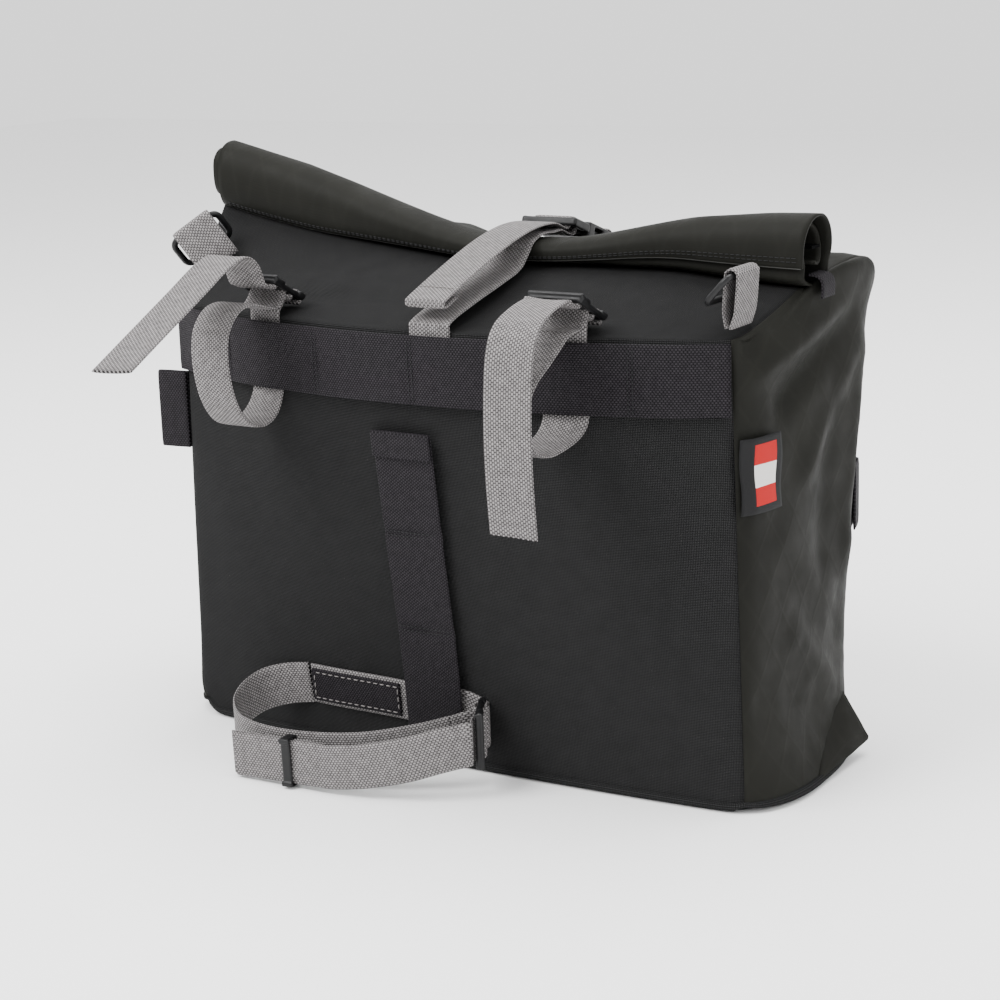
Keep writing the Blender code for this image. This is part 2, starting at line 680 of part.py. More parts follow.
# ---- lower strap ------------------------------------------------------------------------------
LOWER_Z = 0.0365                   # middle of the strap where it is sewn on
LOWER_LOCK = (0.0345, -0.0880, 0.0325)
LOWER_LOOP = [(-0.1030, -0.0835, 0.0350), (-0.1145, -0.0920, 0.0320), (-0.1185, -0.1060, 0.0270),
              (-0.1145, -0.1200, 0.0215), (-0.1010, -0.1310, 0.0180), (-0.0780, -0.1360, 0.0170),
              (-0.0480, -0.1355, 0.0180), (-0.0160, -0.1290, 0.0210), (0.0120, -0.1170, 0.0265),
              (0.0290, -0.1070, 0.0310)]
TAIL_START = Vector((-0.0280, -0.1450, 0.0160))
TAIL_END = Vector((-0.0920, -0.1470, 0.0142))
TAIL_CORNER = [(0.0420, -0.1190, 0.0320), (0.0310, -0.1270, 0.0295), (0.0100, -0.1360, 0.0235)]
LEANING = Vector((0.0, -0.0806, 1.0)).normalized()      # up along the strap side, at that height


def lower_lock():
    v = Vector((0.46, -0.888, 0.0)).normalized()
    return BuckleFrame(LOWER_LOCK, v, (-v.y, v.x, 0.0))


def make_lower_anchor(frame):
    """Threaded behind the upright webbing, with its end wrapped round the buckle's anchor bar."""
    path = [outward(x, LOWER_Z, LAYER + 0.0005) for x in steps(-0.0880, 0.0200, 10)]
    tilts = [LEANING] * len(path)
    wrap = [frame.at(-0.0075, 0.0010), frame.at(-0.0045, 0.0030), frame.at(-0.0004, 0.0036),
            frame.at(0.0024, 0.0030), frame.at(0.0039, 0.0012), frame.at(0.0042, -0.0014),
            frame.at(0.0030, -0.0034), frame.at(0.0002, -0.0038), frame.at(-0.0030, -0.0034)]
    ribbon("lower_strap_anchor", path + wrap, tilts + [UP] * len(wrap), NARROW - 0.001, "grey_web")
    middle = LAYER + WEB / 2 + GAP + 0.0012
    rows = []
    for z in (LOWER_Z - 0.0100, LOWER_Z + 0.0100):
        rows.append([outward(x, z, middle) for x in steps(-0.0870, -0.0240, 7)])
    sheet("lower_strap_patch", rows, "black_web", 0.0012)


def make_lower_strap():
    frame = lower_lock()
    make_lower_anchor(frame)
    make_ladder_lock("lower_buckle", frame)
    first = outward(-0.0890, LOWER_Z, LAYER + 0.0006)
    path = curve_through([first] + [Vector(spot) for spot in LOWER_LOOP], 2)
    tilts = [LEANING, LEANING.lerp(UP, 0.5)] + [UP] * (len(path) - 2)
    ribbon("lower_strap_loop", path, tilts, NARROW, "grey_web")
    lead = path[-1] + (frame.at(0.0125, -0.0070) - path[-1]).normalized() * 0.0005
    thread = ribbon("lower_strap_thread", [lead] + strap_through_lock(frame), UP, NARROW, "grey_web")
    pivot_at(thread, frame.anchor)
    start = [frame.at(0.0276, -0.0034), frame.at(0.0300, -0.0036)]
    corner = [Vector(spot) for spot in TAIL_CORNER]
    path = start[:1] + curve_through(start[1:] + corner + [TAIL_START], 2) + [TAIL_END]
    side = (TAIL_END - TAIL_START).normalized()
    inward = Vector((-side.y, side.x, 0.0)) * -1.0
    path += [TAIL_END + side * 0.0012 + inward * 0.0006, TAIL_END + side * 0.0012 + inward * 0.0020]
    path += [TAIL_END + inward * 0.0026, TAIL_START + side * 0.004 + inward * 0.0026]
    tail = ribbon("lower_strap_tail", path, UP, NARROW, "grey_web")
    pivot_at(tail, frame.anchor)


def make_keeper():
    """A rectangular plastic loop round both layers of the lower strap's tail."""
    side = (TAIL_START - TAIL_END).normalized()
    outward_side = Vector((side.y, -side.x, 0.0)).normalized()
    centre = TAIL_START.lerp(TAIL_END, 0.45) - outward_side * 0.0013
    turn = Matrix((side, outward_side, side.cross(outward_side))).transposed().to_4x4()
    place = Matrix.Translation(centre) @ turn
    keeper = add_object("strap_keeper", box_mesh((0.0060, 0.0086, 0.0284), 0.0006), "black_plastic")
    keeper.matrix_world = place
    combine(keeper, cutter(box_mesh((0.02, 0.0052, 0.0262)), place), "DIFFERENCE")


# ---- side loops, rings, tabs and label ----------------------------------------------------------
RING_WIRE = 0.0017
LOOP_HALF = 0.0034
LOOP_RISE = 0.0300
SIDE_LOOPS = {
    "right": ((0.1800, -0.0610, 0.2612), (0.08, 0.0, 1.0), (0.0, 1.0, 0.0), 38.0),
    "left": ((-0.1660, -0.0450, 0.2745), (-0.55, -0.20, 0.80), (0.54, 0.53, 0.65), 36.0),
}


def side_loop_place(foot, rise, width):
    """Local Z runs up the loop and local Y along its width."""
    up = Vector(rise).normalized()
    across = Vector(width)
    across = (across - up * across.dot(up)).normalized()
    turn = Matrix((across.cross(up), across, up)).transposed().to_4x4()
    return Matrix.Translation(foot) @ turn


def make_side_loop(name, place):
    half = LOOP_HALF
    path = [(0.0012, 0.0), (half - 0.0004, 0.007), (half, 0.012), (half, LOOP_RISE - half)]
    for angle in (45.0, 90.0, 135.0):
        turn = math.radians(angle)
        path.append((half * math.cos(turn), LOOP_RISE - half + half * math.sin(turn)))
    path += [(-half, LOOP_RISE - half), (-half, 0.012), (-half + 0.0004, 0.007), (-0.0012, 0.0)]
    points = [place @ Vector((x, 0.0, z)) for x, z in path]
    across = place.to_3x3() @ Vector((0.0, 1.0, 0.0))
    ribbon(name, points, across, NARROW, "grey_web", WEB)


def make_ring(name, place, swing):
    """A rounded rectangular ring whose bar lies in the loop's fold; it swings about that bar."""
    curve = bpy.data.curves.new(name, "CURVE")
    curve.dimensions = "3D"
    curve.bevel_depth = RING_WIRE
    curve.bevel_resolution = 1
    spline = curve.splines.new("POLY")
    half_bar, drop, corner = 0.0160, 0.0185, 0.0045
    corners = [(half_bar - corner, -corner, 0), (half_bar - corner, -drop + corner, -90),
               (-half_bar + corner, -drop + corner, -180), (-half_bar + corner, -corner, -270)]
    outline = []
    for y, z, first in corners:
        for angle in (90, 45, 0):
            turn = math.radians(first + angle)
            outline.append((y + corner * math.cos(turn), z + corner * math.sin(turn)))
    spline.points.add(len(outline) - 1)
    for point, (y, z) in zip(spline.points, outline):
        point.co = (0.0, y, z, 1.0)
    spline.use_cyclic_u = True
    ring = bpy.data.objects.new(name, curve)
    curve.materials.append(MATERIALS["black_plastic"])
    PARTS.objects.link(ring)
    hang = Matrix.Translation((0.0, 0.0, LOOP_RISE - LOOP_HALF)) @ Matrix.Rotation(swing, 4, "Y")
    ring.matrix_world = place @ hang


def make_side_fittings():
    for side, (foot, rise, width, swing) in SIDE_LOOPS.items():
        place = side_loop_place(foot, rise, width)
        make_side_loop(f"{side}_side_loop", place)
        make_ring(f"{side}_ring", place, math.radians(swing))


TAB_REACH = 0.0145


def make_tab(name, foot, direction, width, middle_z):
    """A folded tab of webbing that stands out of a seam."""
    foot = Vector((*foot, middle_z))
    out = Vector((*direction, 0.0)).normalized()
    beside = Vector((-out.y, out.x, 0.0))
    half = 0.0011
    path = [foot + beside * half, foot + beside * half + out * (TAB_REACH - half)]
    for angle in (45.0, 90.0, 135.0):
        turn = math.radians(angle)
        path.append(foot + out * (TAB_REACH - half + half * math.sin(turn)) + beside * half * math.cos(turn))
    path += [foot - beside * half + out * (TAB_REACH - half), foot - beside * half]
    ribbon(name, path, UP, width, "black_web", WEB)


def make_label():
    rows = []
    for z in steps(0.163, 0.203, 4):
        offset = FABRIC / 2 + GAP + 0.0004
        rows.append([(side_x(y, z) + offset, y, z) for y in steps(-0.066, -0.036, 4)])
    sheet("seam_label", rows, "label_red", 0.0008)


def build():
    make_back_panel()
    make_front_panel()
    make_side_panel("right_side_panel", 1)
    make_side_panel("left_side_panel", -1)
    make_base_panel()
    make_corner_fold("right_corner_fold", 1)
    make_corner_fold("left_corner_fold", -1)
    make_stiffeners()
    make_roll()
    make_collar()
    make_level_webbing()
    make_upright_webbing()
    make_handlebar_strap("right", 1)
    make_handlebar_strap("left", -1)
    frame = clip_frame()
    make_closure_insert(frame)
    make_closure_socket(frame)
    make_closure_strap(frame)
    make_closure_tail(frame)
    make_front_anchor(frame)
    make_lower_strap()
    make_keeper()
    make_side_fittings()
    make_tab("left_side_tab", (-back_half(0.190) - 0.0024, -0.0675), (-1.0, -0.12), 0.046, 0.190)
    make_tab("front_side_tab", (front_half(0.144) + 0.0005, 0.0698), (-0.30, 0.95), BROAD, 0.144)
    make_label()


build()
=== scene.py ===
"""Looks of the roll-top pannier bag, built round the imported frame. Metres, +Z up, -Y is the strap side."""
import math

import bmesh
import bpy
from mathutils import Matrix, Vector, noise


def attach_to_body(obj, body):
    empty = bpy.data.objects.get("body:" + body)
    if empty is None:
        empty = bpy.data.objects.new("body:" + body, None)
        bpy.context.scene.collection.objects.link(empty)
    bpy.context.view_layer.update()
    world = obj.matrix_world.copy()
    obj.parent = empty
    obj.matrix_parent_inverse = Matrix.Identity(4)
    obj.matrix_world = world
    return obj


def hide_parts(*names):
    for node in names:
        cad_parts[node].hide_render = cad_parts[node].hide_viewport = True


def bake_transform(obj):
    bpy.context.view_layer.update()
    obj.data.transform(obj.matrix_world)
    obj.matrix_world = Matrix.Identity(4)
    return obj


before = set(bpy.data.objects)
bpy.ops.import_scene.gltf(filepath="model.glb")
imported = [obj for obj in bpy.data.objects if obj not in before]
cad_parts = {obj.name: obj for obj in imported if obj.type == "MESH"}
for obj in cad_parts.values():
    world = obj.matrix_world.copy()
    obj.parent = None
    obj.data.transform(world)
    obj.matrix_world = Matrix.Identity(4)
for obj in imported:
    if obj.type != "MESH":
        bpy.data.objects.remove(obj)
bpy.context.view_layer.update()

# ---- sizes, the same as the solids'
BACK_HALF_LOW = 0.1865
BACK_HALF_HIGH = 0.18
DEPTH = 0.135
RIM_Z = 0.254
FABRIC = 0.0014
WEB = 0.0016
BROAD = 0.038
NARROW = 0.0254
GAP = 0.0003
FRONT_HALF_LOW = 0.181
FRONT_HALF_HIGH = 0.198
STRAP_X = 0.097
CLOSURE_X = 0.02
LEVEL_WEB_Z = (0.215, 0.253)
UPRIGHT_WEB_Z = (0.012, 0.198)
BACK_BULGE = (0.009, 0.034)      # of the strap side, at the base and at the rim
FRONT_BULGE = 0.02
BASE_RISE = 0.012
ROLL_HALF_LENGTH = 0.195
ROLL_HALF_DEPTH = 0.0175
ROLL_FLAT_HALF = 0.0075          # half height under the closure strap, then at the two ends
ROLL_LEFT_HALF = 0.021
ROLL_RIGHT_HALF = 0.019
ROLL_LOW_Z = 0.2855
ROLL_LEFT_RISE = 0.0342
ROLL_RIGHT_RISE = 0.0085
LAYER = FABRIC / 2 + GAP + WEB / 2
SECOND_LAYER = LAYER + WEB + GAP + 0.0013
UP = Vector((0.0, 0.0, 1.0))
ALONG = Vector((1.0, 0.0, 0.0))


def smooth(t):
    t = min(max(t, 0.0), 1.0)
    return t * t * (3.0 - 2.0 * t)


def mix(a, b, t):
    return a + (b - a) * t


def steps(low, high, count):
    return [mix(low, high, i / (count - 1)) for i in range(count)]


def mm(value):
    """Millimetres as metres, also in nested lists and tuples of numbers."""
    if isinstance(value, dict):
        return {key: mm(part) for key, part in value.items()}
    if isinstance(value, (list, tuple)):
        return type(value)(mm(part) for part in value)
    return value / 1000


def bump_at(distance, width):
    return math.exp(-(distance / width) ** 2)


def curve_through(points, per_span=3):
    """Points on a smooth Catmull-Rom curve through the given ones."""
    ends = [points[0] * 2 - points[1]] + points + [points[-1] * 2 - points[-2]]
    result = []
    for a, b, c, d in zip(ends, ends[1:], ends[2:], ends[3:]):
        for step in range(per_span):
            t = step / per_span
            result.append(
                0.5 * (2 * b + (c - a) * t + (2 * a - 5 * b + 4 * c - d) * t ** 2
                       + (3 * b - a - 3 * c + d) * t ** 3)
            )
    return result + [points[-1]]


# ---- materials
MIDDLE = (0.3, 0.7)              # between these lies most of a noise texture
LINT = (0.1, 0.095, 0.09)
LAMINATE_GRID = 0.024            # between the laminate's reinforcing yarns
FINE_YARN = 0.0005
LABEL_YARN = 0.0004
LABEL_WIDTH = 0.03
LABEL_HEIGHT = 0.04
LABEL_Z = 0.163
LABEL_BLOCK = (0.008, 0.025)   # the coloured block's edges, from the label's seam


class Surface:
    """A Principled material whose pattern follows the fabric's own "lay" coordinates."""

    def __init__(self, name, colour, roughness, specular):
        self.material = bpy.data.materials.new(name)
        self.material.use_nodes = True
        self.tree = self.material.node_tree
        self.shader = self.tree.nodes["Principled BSDF"]
        self.shader.inputs["Base Color"].default_value = (*colour, 1.0)
        self.shader.inputs["Roughness"].default_value = roughness
        self.shader.inputs["Specular IOR Level"].default_value = specular

    def node(self, kind, sockets, **settings):
        """A node with its settings; sockets gives a number, a colour or a link for each input."""
        node = self.tree.nodes.new(kind)
        for key, value in settings.items():
            setattr(node, key, value)
        for key, value in sockets.items():
            self.join(value, node.inputs[key])
        return node

    def join(self, value, socket):
        if isinstance(value, (int, float, tuple)):
            socket.default_value = value
        else:
            self.tree.links.new(value, socket)

    def math(self, operation, a, b=0.0):
        return self.node("ShaderNodeMath", {0: a, 1: b}, operation=operation).outputs[0]

    def times(self, a, b):
        return self.math("MULTIPLY", a, b)

    def power(self, value, exponent):
        return self.math("POWER", value, exponent)

    def lay(self):
        """Metres across the unrolled cloth, metres along it, and both as one vector."""
        place = self.node("ShaderNodeAttribute", {}, attribute_name="lay").outputs["Vector"]
        parts = self.node("ShaderNodeSeparateXYZ", {0: place}).outputs
        return parts[0], parts[1], place

    def place(self):
        return self.node("ShaderNodeTexCoord", {}).outputs["Object"]

    def cloud(self, vector, scale, detail=3.0):
        sockets = {"Vector": vector, "Scale": scale, "Detail": detail}
        return self.node("ShaderNodeTexNoise", sockets).outputs["Fac"]

    def spread(self, value, low, high, new_low, new_high):
        sockets = {"From Min": low, "From Max": high, "To Min": new_low, "To Max": new_high, "Value": value}
        return self.node("ShaderNodeMapRange", sockets).outputs["Result"]

    def blend(self, share, dark, light):
        dark, light = [(*colour, 1.0) if isinstance(colour, tuple) else colour for colour in (dark, light)]
        sockets = {"Factor": share, "A": dark, "B": light}
        return self.node("ShaderNodeMix", sockets, data_type="RGBA").outputs["Result"]

    def relief(self, height, distance, strength=1.0, under=None):
        sockets = {"Strength": strength, "Distance": distance, "Height": height}
        if under is not None:
            sockets["Normal"] = under
        return self.node("ShaderNodeBump", sockets).outputs["Normal"]

    def finish(self, colour=None, roughness=None, normal=None):
        for value, name in ((colour, "Base Color"), (roughness, "Roughness"), (normal, "Normal")):
            if value is not None:
                self.join(value, self.shader.inputs[name])
        return self.material


def ribs(surface, value, pitch):
    """Rounded ribs across one lay coordinate."""
    return surface.math("ABSOLUTE", surface.math("SINE", surface.times(value, math.pi / pitch)))


def plain_weave(surface, across, along, pitch):
    """Height of a plain weave: a rounded spot where each yarn passes over another."""
    return surface.times(ribs(surface, across, pitch), ribs(surface, along, pitch))


def webbing(name, dark, light, along_pitch, across_pitch, roughness):
    """Ribbed webbing: yarns in columns, each column half a pick away from its neighbour."""
    surface = Surface(name, light, roughness, 0.06)
    across, along, lay = surface.lay()
    column = surface.math("FLOOR", surface.math("DIVIDE", across, across_pitch))
    odd = surface.math("MODULO", surface.math("ABSOLUTE", column), 2.0)
    shifted = surface.math("ADD", along, surface.times(odd, along_pitch / 2))
    picks = surface.power(ribs(surface, shifted, along_pitch), 0.85)
    yarns = surface.power(ribs(surface, across, across_pitch), 0.5)
    height = surface.times(picks, yarns)
    wear = surface.spread(surface.cloud(lay, 260.0), *MIDDLE, 0.75, 1.1)
    # painted shade: the colour runs from the yarn colour on raised yarns to near black in the hollows
    # between them
    colour = surface.blend(surface.times(height, wear), dark, light)
    rough = surface.spread(height, 0.0, 1.0, roughness + 0.12, roughness - 0.06)
    return surface.finish(colour, rough, surface.relief(height, 0.0005, 0.8))


def coarse_cloth(name, dark, light, pitch):
    """Plain weave of thick textured yarn, with a little lint on it."""
    surface = Surface(name, light, 0.8, 0.03)
    across, along, lay = surface.lay()
    height = surface.power(plain_weave(surface, across, along, pitch), 0.6)
    patches = surface.cloud(lay, 90.0, 5.0)
    # painted shade: the cloth is darker in the hollows between yarns than on their tops
    cloth = surface.blend(surface.times(height, surface.spread(patches, *MIDDLE, 0.88, 1.06)), dark, light)
    lint = surface.spread(surface.cloud(lay, 1100.0, 1.0), 0.76, 0.8, 0.0, 0.6)
    colour = surface.blend(lint, cloth, LINT)
    soft = surface.relief(surface.cloud(surface.place(), 45.0, 3.0), 0.001, 0.2)
    normal = surface.relief(height, 0.00055, 1.0, soft)
    return surface.finish(colour, surface.spread(patches, *MIDDLE, 0.74, 0.88), normal)


def sailcloth(name, dark, light):
    """Coated laminate: fine weave, faint diagonal reinforcing yarns and a slight sheen."""
    surface = Surface(name, light, 0.5, 0.035)
    across, along, _ = surface.lay()
    slant = surface.times(along, 0.7)
    diagonals = [surface.power(ribs(surface, surface.math(turn, across, slant), LAMINATE_GRID), 60.0)
                 for turn in ("ADD", "SUBTRACT")]
    lines = surface.math("MAXIMUM", *diagonals)
    crinkle = surface.cloud(surface.place(), 60.0, 6.0)
    patches = surface.cloud(surface.place(), 14.0, 4.0)
    tone = surface.math("ADD", surface.spread(patches, *MIDDLE, 0.25, 0.7), surface.times(lines, 0.12))
    soft = surface.relief(crinkle, 0.001, 0.2)
    yarn = surface.relief(lines, 0.0002, 0.3, soft)
    normal = surface.relief(plain_weave(surface, across, along, FINE_YARN), 0.0001, 0.35, yarn)
    rough = surface.spread(crinkle, *MIDDLE, 0.4, 0.58)
    return surface.finish(surface.blend(tone, dark, light), rough, normal)


def moulded(name, colour, roughness, specular=0.25):
    """Injection moulded plastic with a fine grain and scuffs that are lighter and rougher."""
    surface = Surface(name, colour, roughness, specular)
    grain = surface.cloud(surface.place(), 1600.0, 2.0)
    scuff = surface.cloud(surface.place(), 220.0, 4.0)
    rough = surface.spread(scuff, *MIDDLE, roughness - 0.06, roughness + 0.14)
    shade = surface.blend(surface.spread(scuff, 0.35, 0.75, 0.0, 1.0), colour,
                          tuple(part * 1.8 for part in colour))
    return surface.finish(shade, rough, surface.relief(grain, 0.00008, 0.5))


def thread(name, colour):
    """Twisted sewing thread."""
    surface = Surface(name, colour, 0.6, 0.2)
    twist = surface.cloud(surface.place(), 2400.0, 1.0)
    shade = surface.blend(twist, tuple(part * 0.6 for part in colour), colour)
    return surface.finish(shade, None, surface.relief(twist, 0.0001, 0.6))


def woven_label(name):
    """Black woven label with a plain red and white block on it; lay x runs out, y up."""
    black, red, white = (0.003, 0.003, 0.0035, 1.0), (0.36, 0.001, 0.002, 1.0), (0.62, 0.6, 0.58, 1.0)
    surface = Surface(name, black[:3], 0.65, 0.2)
    across, along, _ = surface.lay()
    bands = surface.node("ShaderNodeValToRGB", {"Fac": surface.math("DIVIDE", along, LABEL_HEIGHT)})
    ramp = bands.color_ramp
    ramp.interpolation = "CONSTANT"
    ramp.elements[0].color = black
    ramp.elements[1].position = 0.1
    ramp.elements[1].color = red
    for position, colour in ((0.34, white), (0.64, red), (0.91, black)):
        ramp.elements.new(position).color = colour
    inside = surface.times(surface.math("GREATER_THAN", across, LABEL_BLOCK[0]),
                           surface.math("LESS_THAN", across, LABEL_BLOCK[1]))
    fine = plain_weave(surface, across, along, LABEL_YARN)
    colour = surface.blend(inside, black[:3], bands.outputs["Color"])
    return surface.finish(colour, None, surface.relief(fine, 0.0001, 0.6))


MATERIALS = {
    # For the cordura and the two webbings the darker colour is painted shade in the hollows of the weave.
    "cordura": coarse_cloth("coarse_black_cloth", (0.002, 0.002, 0.002), (0.032, 0.032, 0.0325), 0.0009),
    "laminate": sailcloth("coated_sailcloth", (0.007, 0.007, 0.006), (0.015, 0.015, 0.0129)),
    "grey_web": webbing("grey_webbing", (0.006, 0.0055, 0.0055), (0.275, 0.26, 0.26), 0.0021, 0.0013, 0.6),
    "black_web": webbing("black_webbing", (0.0012, 0.0012, 0.0015), (0.027, 0.024, 0.0275), 0.0019, 0.0012,
                         0.6),
    "black_plastic": moulded("black_moulding", (0.0028, 0.0028, 0.0031), 0.4),
    "board": moulded("stiffener_board", (0.0015, 0.0015, 0.0016), 0.85, 0.02),
    "label_red": woven_label("label_weave"),
    "black_thread": thread("black_thread", (0.012, 0.012, 0.013)),
    # painted highlight: a lighter grey than the fabric, for the light on the roll's hem edge
    "hem_highlight_thread": thread("hem_highlight_thread", (0.05, 0.05, 0.047)),
    "grey_thread": thread("grey_thread", (0.22, 0.205, 0.2)),
}


# ---- mesh helpers
def piece(name, vertices, faces, material, lay=None):
    """A new mesh; lay gives each vertex its two coordinates on the unrolled cloth, in metres."""
    mesh = bpy.data.meshes.new(name)
    mesh.from_pydata([tuple(v) for v in vertices], [], faces)
    if lay is not None:
        layer = mesh.attributes.new("lay", "FLOAT_VECTOR", "POINT")
        layer.data.foreach_set("vector", [part for u, v in lay for part in (u, v, 0.0)])
    mesh.update()
    return show(name, mesh, material)


def show(name, mesh, material):
    """Puts a finished mesh in the scene, with its material."""
    mesh.materials.clear()
    mesh.materials.append(MATERIALS[material])
    mesh.polygons.foreach_set("use_smooth", [True] * len(mesh.polygons))
    thing = bpy.data.objects.new(name, mesh)
    bpy.context.scene.collection.objects.link(thing)
    return thing


def attach(thing, body, *nodes):
    """Rides on one body and stands for CAD nodes, if any are named."""
    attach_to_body(thing, body)
    if nodes:
        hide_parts(*nodes)


def bend(thing, node):
    """Keeps its place, on no body, and stands for one CAD node."""
    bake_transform(thing)
    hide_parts(node)


def running_length(points):
    total, lengths = 0.0, [0.0]
    for a, b in zip(points, points[1:]):
        total += (Vector(b) - Vector(a)).length
        lengths.append(total)
    return lengths


def grid_lay(rows):
    """Lay coordinates in metres, from the middle row and the middle column."""
    across = running_length(rows[len(rows) // 2])
    along = running_length([row[len(row) // 2] for row in rows])
    return [(u, v) for v in along for u in across]


def quads(count, wide, round_rows=True, round_columns=False):
    """Faces between rows of points; each row may close on itself, and so may the whole."""
    faces = []
    for i in range(count if round_columns else count - 1):
        low, high = i * wide, (i + 1) % count * wide
        for j in range(wide if round_rows else wide - 1):
            k = (j + 1) % wide
            faces.append((low + j, low + k, high + k, high + j))
    return faces


def turns(count):
    return [2 * math.pi * j / count for j in range(count)]


def outwards(thing, distance=1e-6):
    """Merges doubled points and makes all faces look outwards."""
    bm = bmesh.new()
    bm.from_mesh(thing.data)
    bmesh.ops.remove_doubles(bm, verts=bm.verts, dist=distance)
    bmesh.ops.recalc_face_normals(bm, faces=bm.faces)
    bm.to_mesh(thing.data)
    bm.free()
    return thing


def cloth(name, rows, material, thickness=FABRIC, closed=False, lay=None):
    """A sheet of cloth with both faces, from rows of points on its middle surface."""
    vertices = [point for row in rows for point in row]
    faces = quads(len(rows), len(rows[0]), round_rows=closed)
    thing = piece(name, vertices, faces, material, lay or grid_lay(rows))
    solid = thing.modifiers.new("thickness", "SOLIDIFY")
    solid.thickness = thickness
    solid.offset = 0.0
    return thing


STITCH_SIDES = 6
STITCH_PROFILE = ((0.0, 0.5, -0.5), (0.2, 1.0, 0.4), (0.8, 1.0, 0.4), (1.0, 0.5, -0.5))
STRAP_PROFILE = [-1.0, -0.985, -0.95, -0.8, -0.5, -0.17, 0.17, 0.5, 0.8, 0.95, 0.985, 1.0]


def strap(name, path, across, material="grey_web", width=NARROW, thickness=WEB, slant=0.0, cup=0.0):
    """Webbing along a path; slant cuts its far end at an angle, cup hollows it across its width."""
    directions = across if isinstance(across, list) else [across] * len(path)
    lengths = running_length(path)
    vertices, lay = [], []
    ring = 2 * len(STRAP_PROFILE)
    for i, point in enumerate(path):
        tangent = (path[min(i + 1, len(path) - 1)] - path[max(i - 1, 0)]).normalized()
        side = directions[i]
        side = (side - tangent * side.dot(tangent)).normalized()
        normal = tangent.cross(side)
        share = smooth((lengths[i] / lengths[-1] - 0.8) / 0.2)
        for face in (1.0, -1.0):
            for a in STRAP_PROFILE[::int(face)]:
                half = thickness / 2 * max(1.0 - abs(a) ** 14, 0.0) ** 0.5
                spot = point + side * (a * width / 2) + normal * (face * half + cup * (a * a - 0.4))
                vertices.append(spot + tangent * (slant * a * width / 2 * share))
                lay.append((a * width / 2 + width, lengths[i]))
    faces = quads(len(path), ring)
    for start in (0, (len(path) - 1) * ring):
        for j in range(len(STRAP_PROFILE) - 1):
            faces.append((start + j, start + j + 1, start + ring - 2 - j, start + ring - 1 - j))
    return outwards(piece(name, vertices, faces, material, lay))


def tube(name, path, radius, material, closed=False, sides=10, flat=1.0, lift=UP):
    """A round or flattened rod along a path."""
    vertices = []
    count = len(path)
    for i, point in enumerate(path):
        before = path[i - 1] if i or closed else point
        after = path[(i + 1) % count] if i < count - 1 or closed else point
        tangent = (after - before).normalized()
        side = tangent.cross(lift).normalized()
        over = side.cross(tangent)
        for turn in turns(sides):
            vertices.append(point + side * radius * flat * math.cos(turn) + over * radius * math.sin(turn))
    faces = quads(count, sides, round_columns=closed)
    if not closed:
        faces += [tuple(reversed(range(sides))), tuple(range((count - 1) * sides, count * sides))]
    return outwards(piece(name, vertices, faces, material))


def fused(name, blocks, place, voxel):
    """One moulding melted together from rounded blocks (centre, size, bevel) in its own axes."""
    bm = bmesh.new()
    for centre, size, bevel in blocks:
        block = bmesh.new()
        bmesh.ops.create_cube(block, size=1.0)
        bmesh.ops.scale(block, vec=size, verts=block.verts)
        bmesh.ops.bevel(block, geom=block.edges[:], offset=bevel, segments=3, profile=0.5, affect="EDGES")
        bmesh.ops.translate(block, vec=centre, verts=block.verts)
        mesh = bpy.data.meshes.new("block")
        block.to_mesh(mesh)
        block.free()
        bm.from_mesh(mesh)
        bpy.data.meshes.remove(mesh)
    mesh = bpy.data.meshes.new(name)
    bm.to_mesh(mesh)
    bm.free()
    rough = bpy.data.objects.new(name + "_rough", mesh)
    bpy.context.scene.collection.objects.link(rough)
    melt = rough.modifiers.new("melt", "REMESH")
    melt.mode = "VOXEL"
    melt.voxel_size = voxel
    ease = rough.modifiers.new("ease", "SMOOTH")
    ease.factor = 0.5
    ease.iterations = 4
    bpy.context.view_layer.update()
    result = bpy.data.meshes.new_from_object(rough.evaluated_get(bpy.context.evaluated_depsgraph_get()))
    bpy.data.objects.remove(rough)
    result.name = name
    result.transform(place)
    return show(name, result, "black_plastic")


class Seam:
    """Collects stitches of one thread and one body into a single piece."""

    def __init__(self, name, material, body):
        self.name = name
        self.material = material
        self.body = body
        self.vertices = []
        self.faces = []

    def stitch(self, a, b, out, radius):
        """One stitch between two holes, its middle standing a little proud."""
        side = (b - a).normalized().cross(out).normalized()
        first = len(self.vertices)
        for t, size, lift in STITCH_PROFILE:
            centre = a.lerp(b, t) + out * radius * lift
            for turn in turns(STITCH_SIDES):
                around = side * math.cos(turn) + out * math.sin(turn)
                self.vertices.append(centre + around * radius * size)
        last = (len(STITCH_PROFILE) - 1) * STITCH_SIDES
        ends = [tuple(reversed(range(STITCH_SIDES))), tuple(range(last, last + STITCH_SIDES))]
        for face in quads(len(STITCH_PROFILE), STITCH_SIDES) + ends:
            self.faces.append(tuple(first + corner for corner in face))

    def row(self, points, out, pitch=0.0032, length=0.0024, radius=0.0003):
        """Running stitches along a line of points; out is one direction or one for each point."""
        directions = out if isinstance(out, list) else [out] * len(points)
        lengths = running_length(points)
        place = pitch * 0.3
        i = 0
        while place + length < lengths[-1]:
            spots = []
            for at in (place, place + length):
                while lengths[i + 1] < at:
                    i += 1
                share = (at - lengths[i]) / (lengths[i + 1] - lengths[i])
                spots.append(points[i].lerp(points[i + 1], share))
            self.stitch(*spots, directions[min(i, len(directions) - 1)], radius)
            place += pitch

    def done(self):
        thing = piece(self.name, self.vertices, self.faces, self.material)
        attach(outwards(thing, 1e-7), self.body)


# ---- the bag's outline
def back_bulge(z):
    return mix(*BACK_BULGE, smooth(z / 0.24))


def back_half(z):
    return mix(BACK_HALF_LOW, BACK_HALF_HIGH, z / RIM_Z)


def flat_back_y(x, z):
    return -DEPTH / 2 - back_bulge(z) * (1.0 - (x / back_half(z)) ** 2)


def front_half(z):
    return mix(FRONT_HALF_LOW, FRONT_HALF_HIGH, (z / RIM_Z) ** 2)


def front_y(x, z):
    return DEPTH / 2 + FRONT_BULGE * (1.0 - (x / front_half(z)) ** 2)


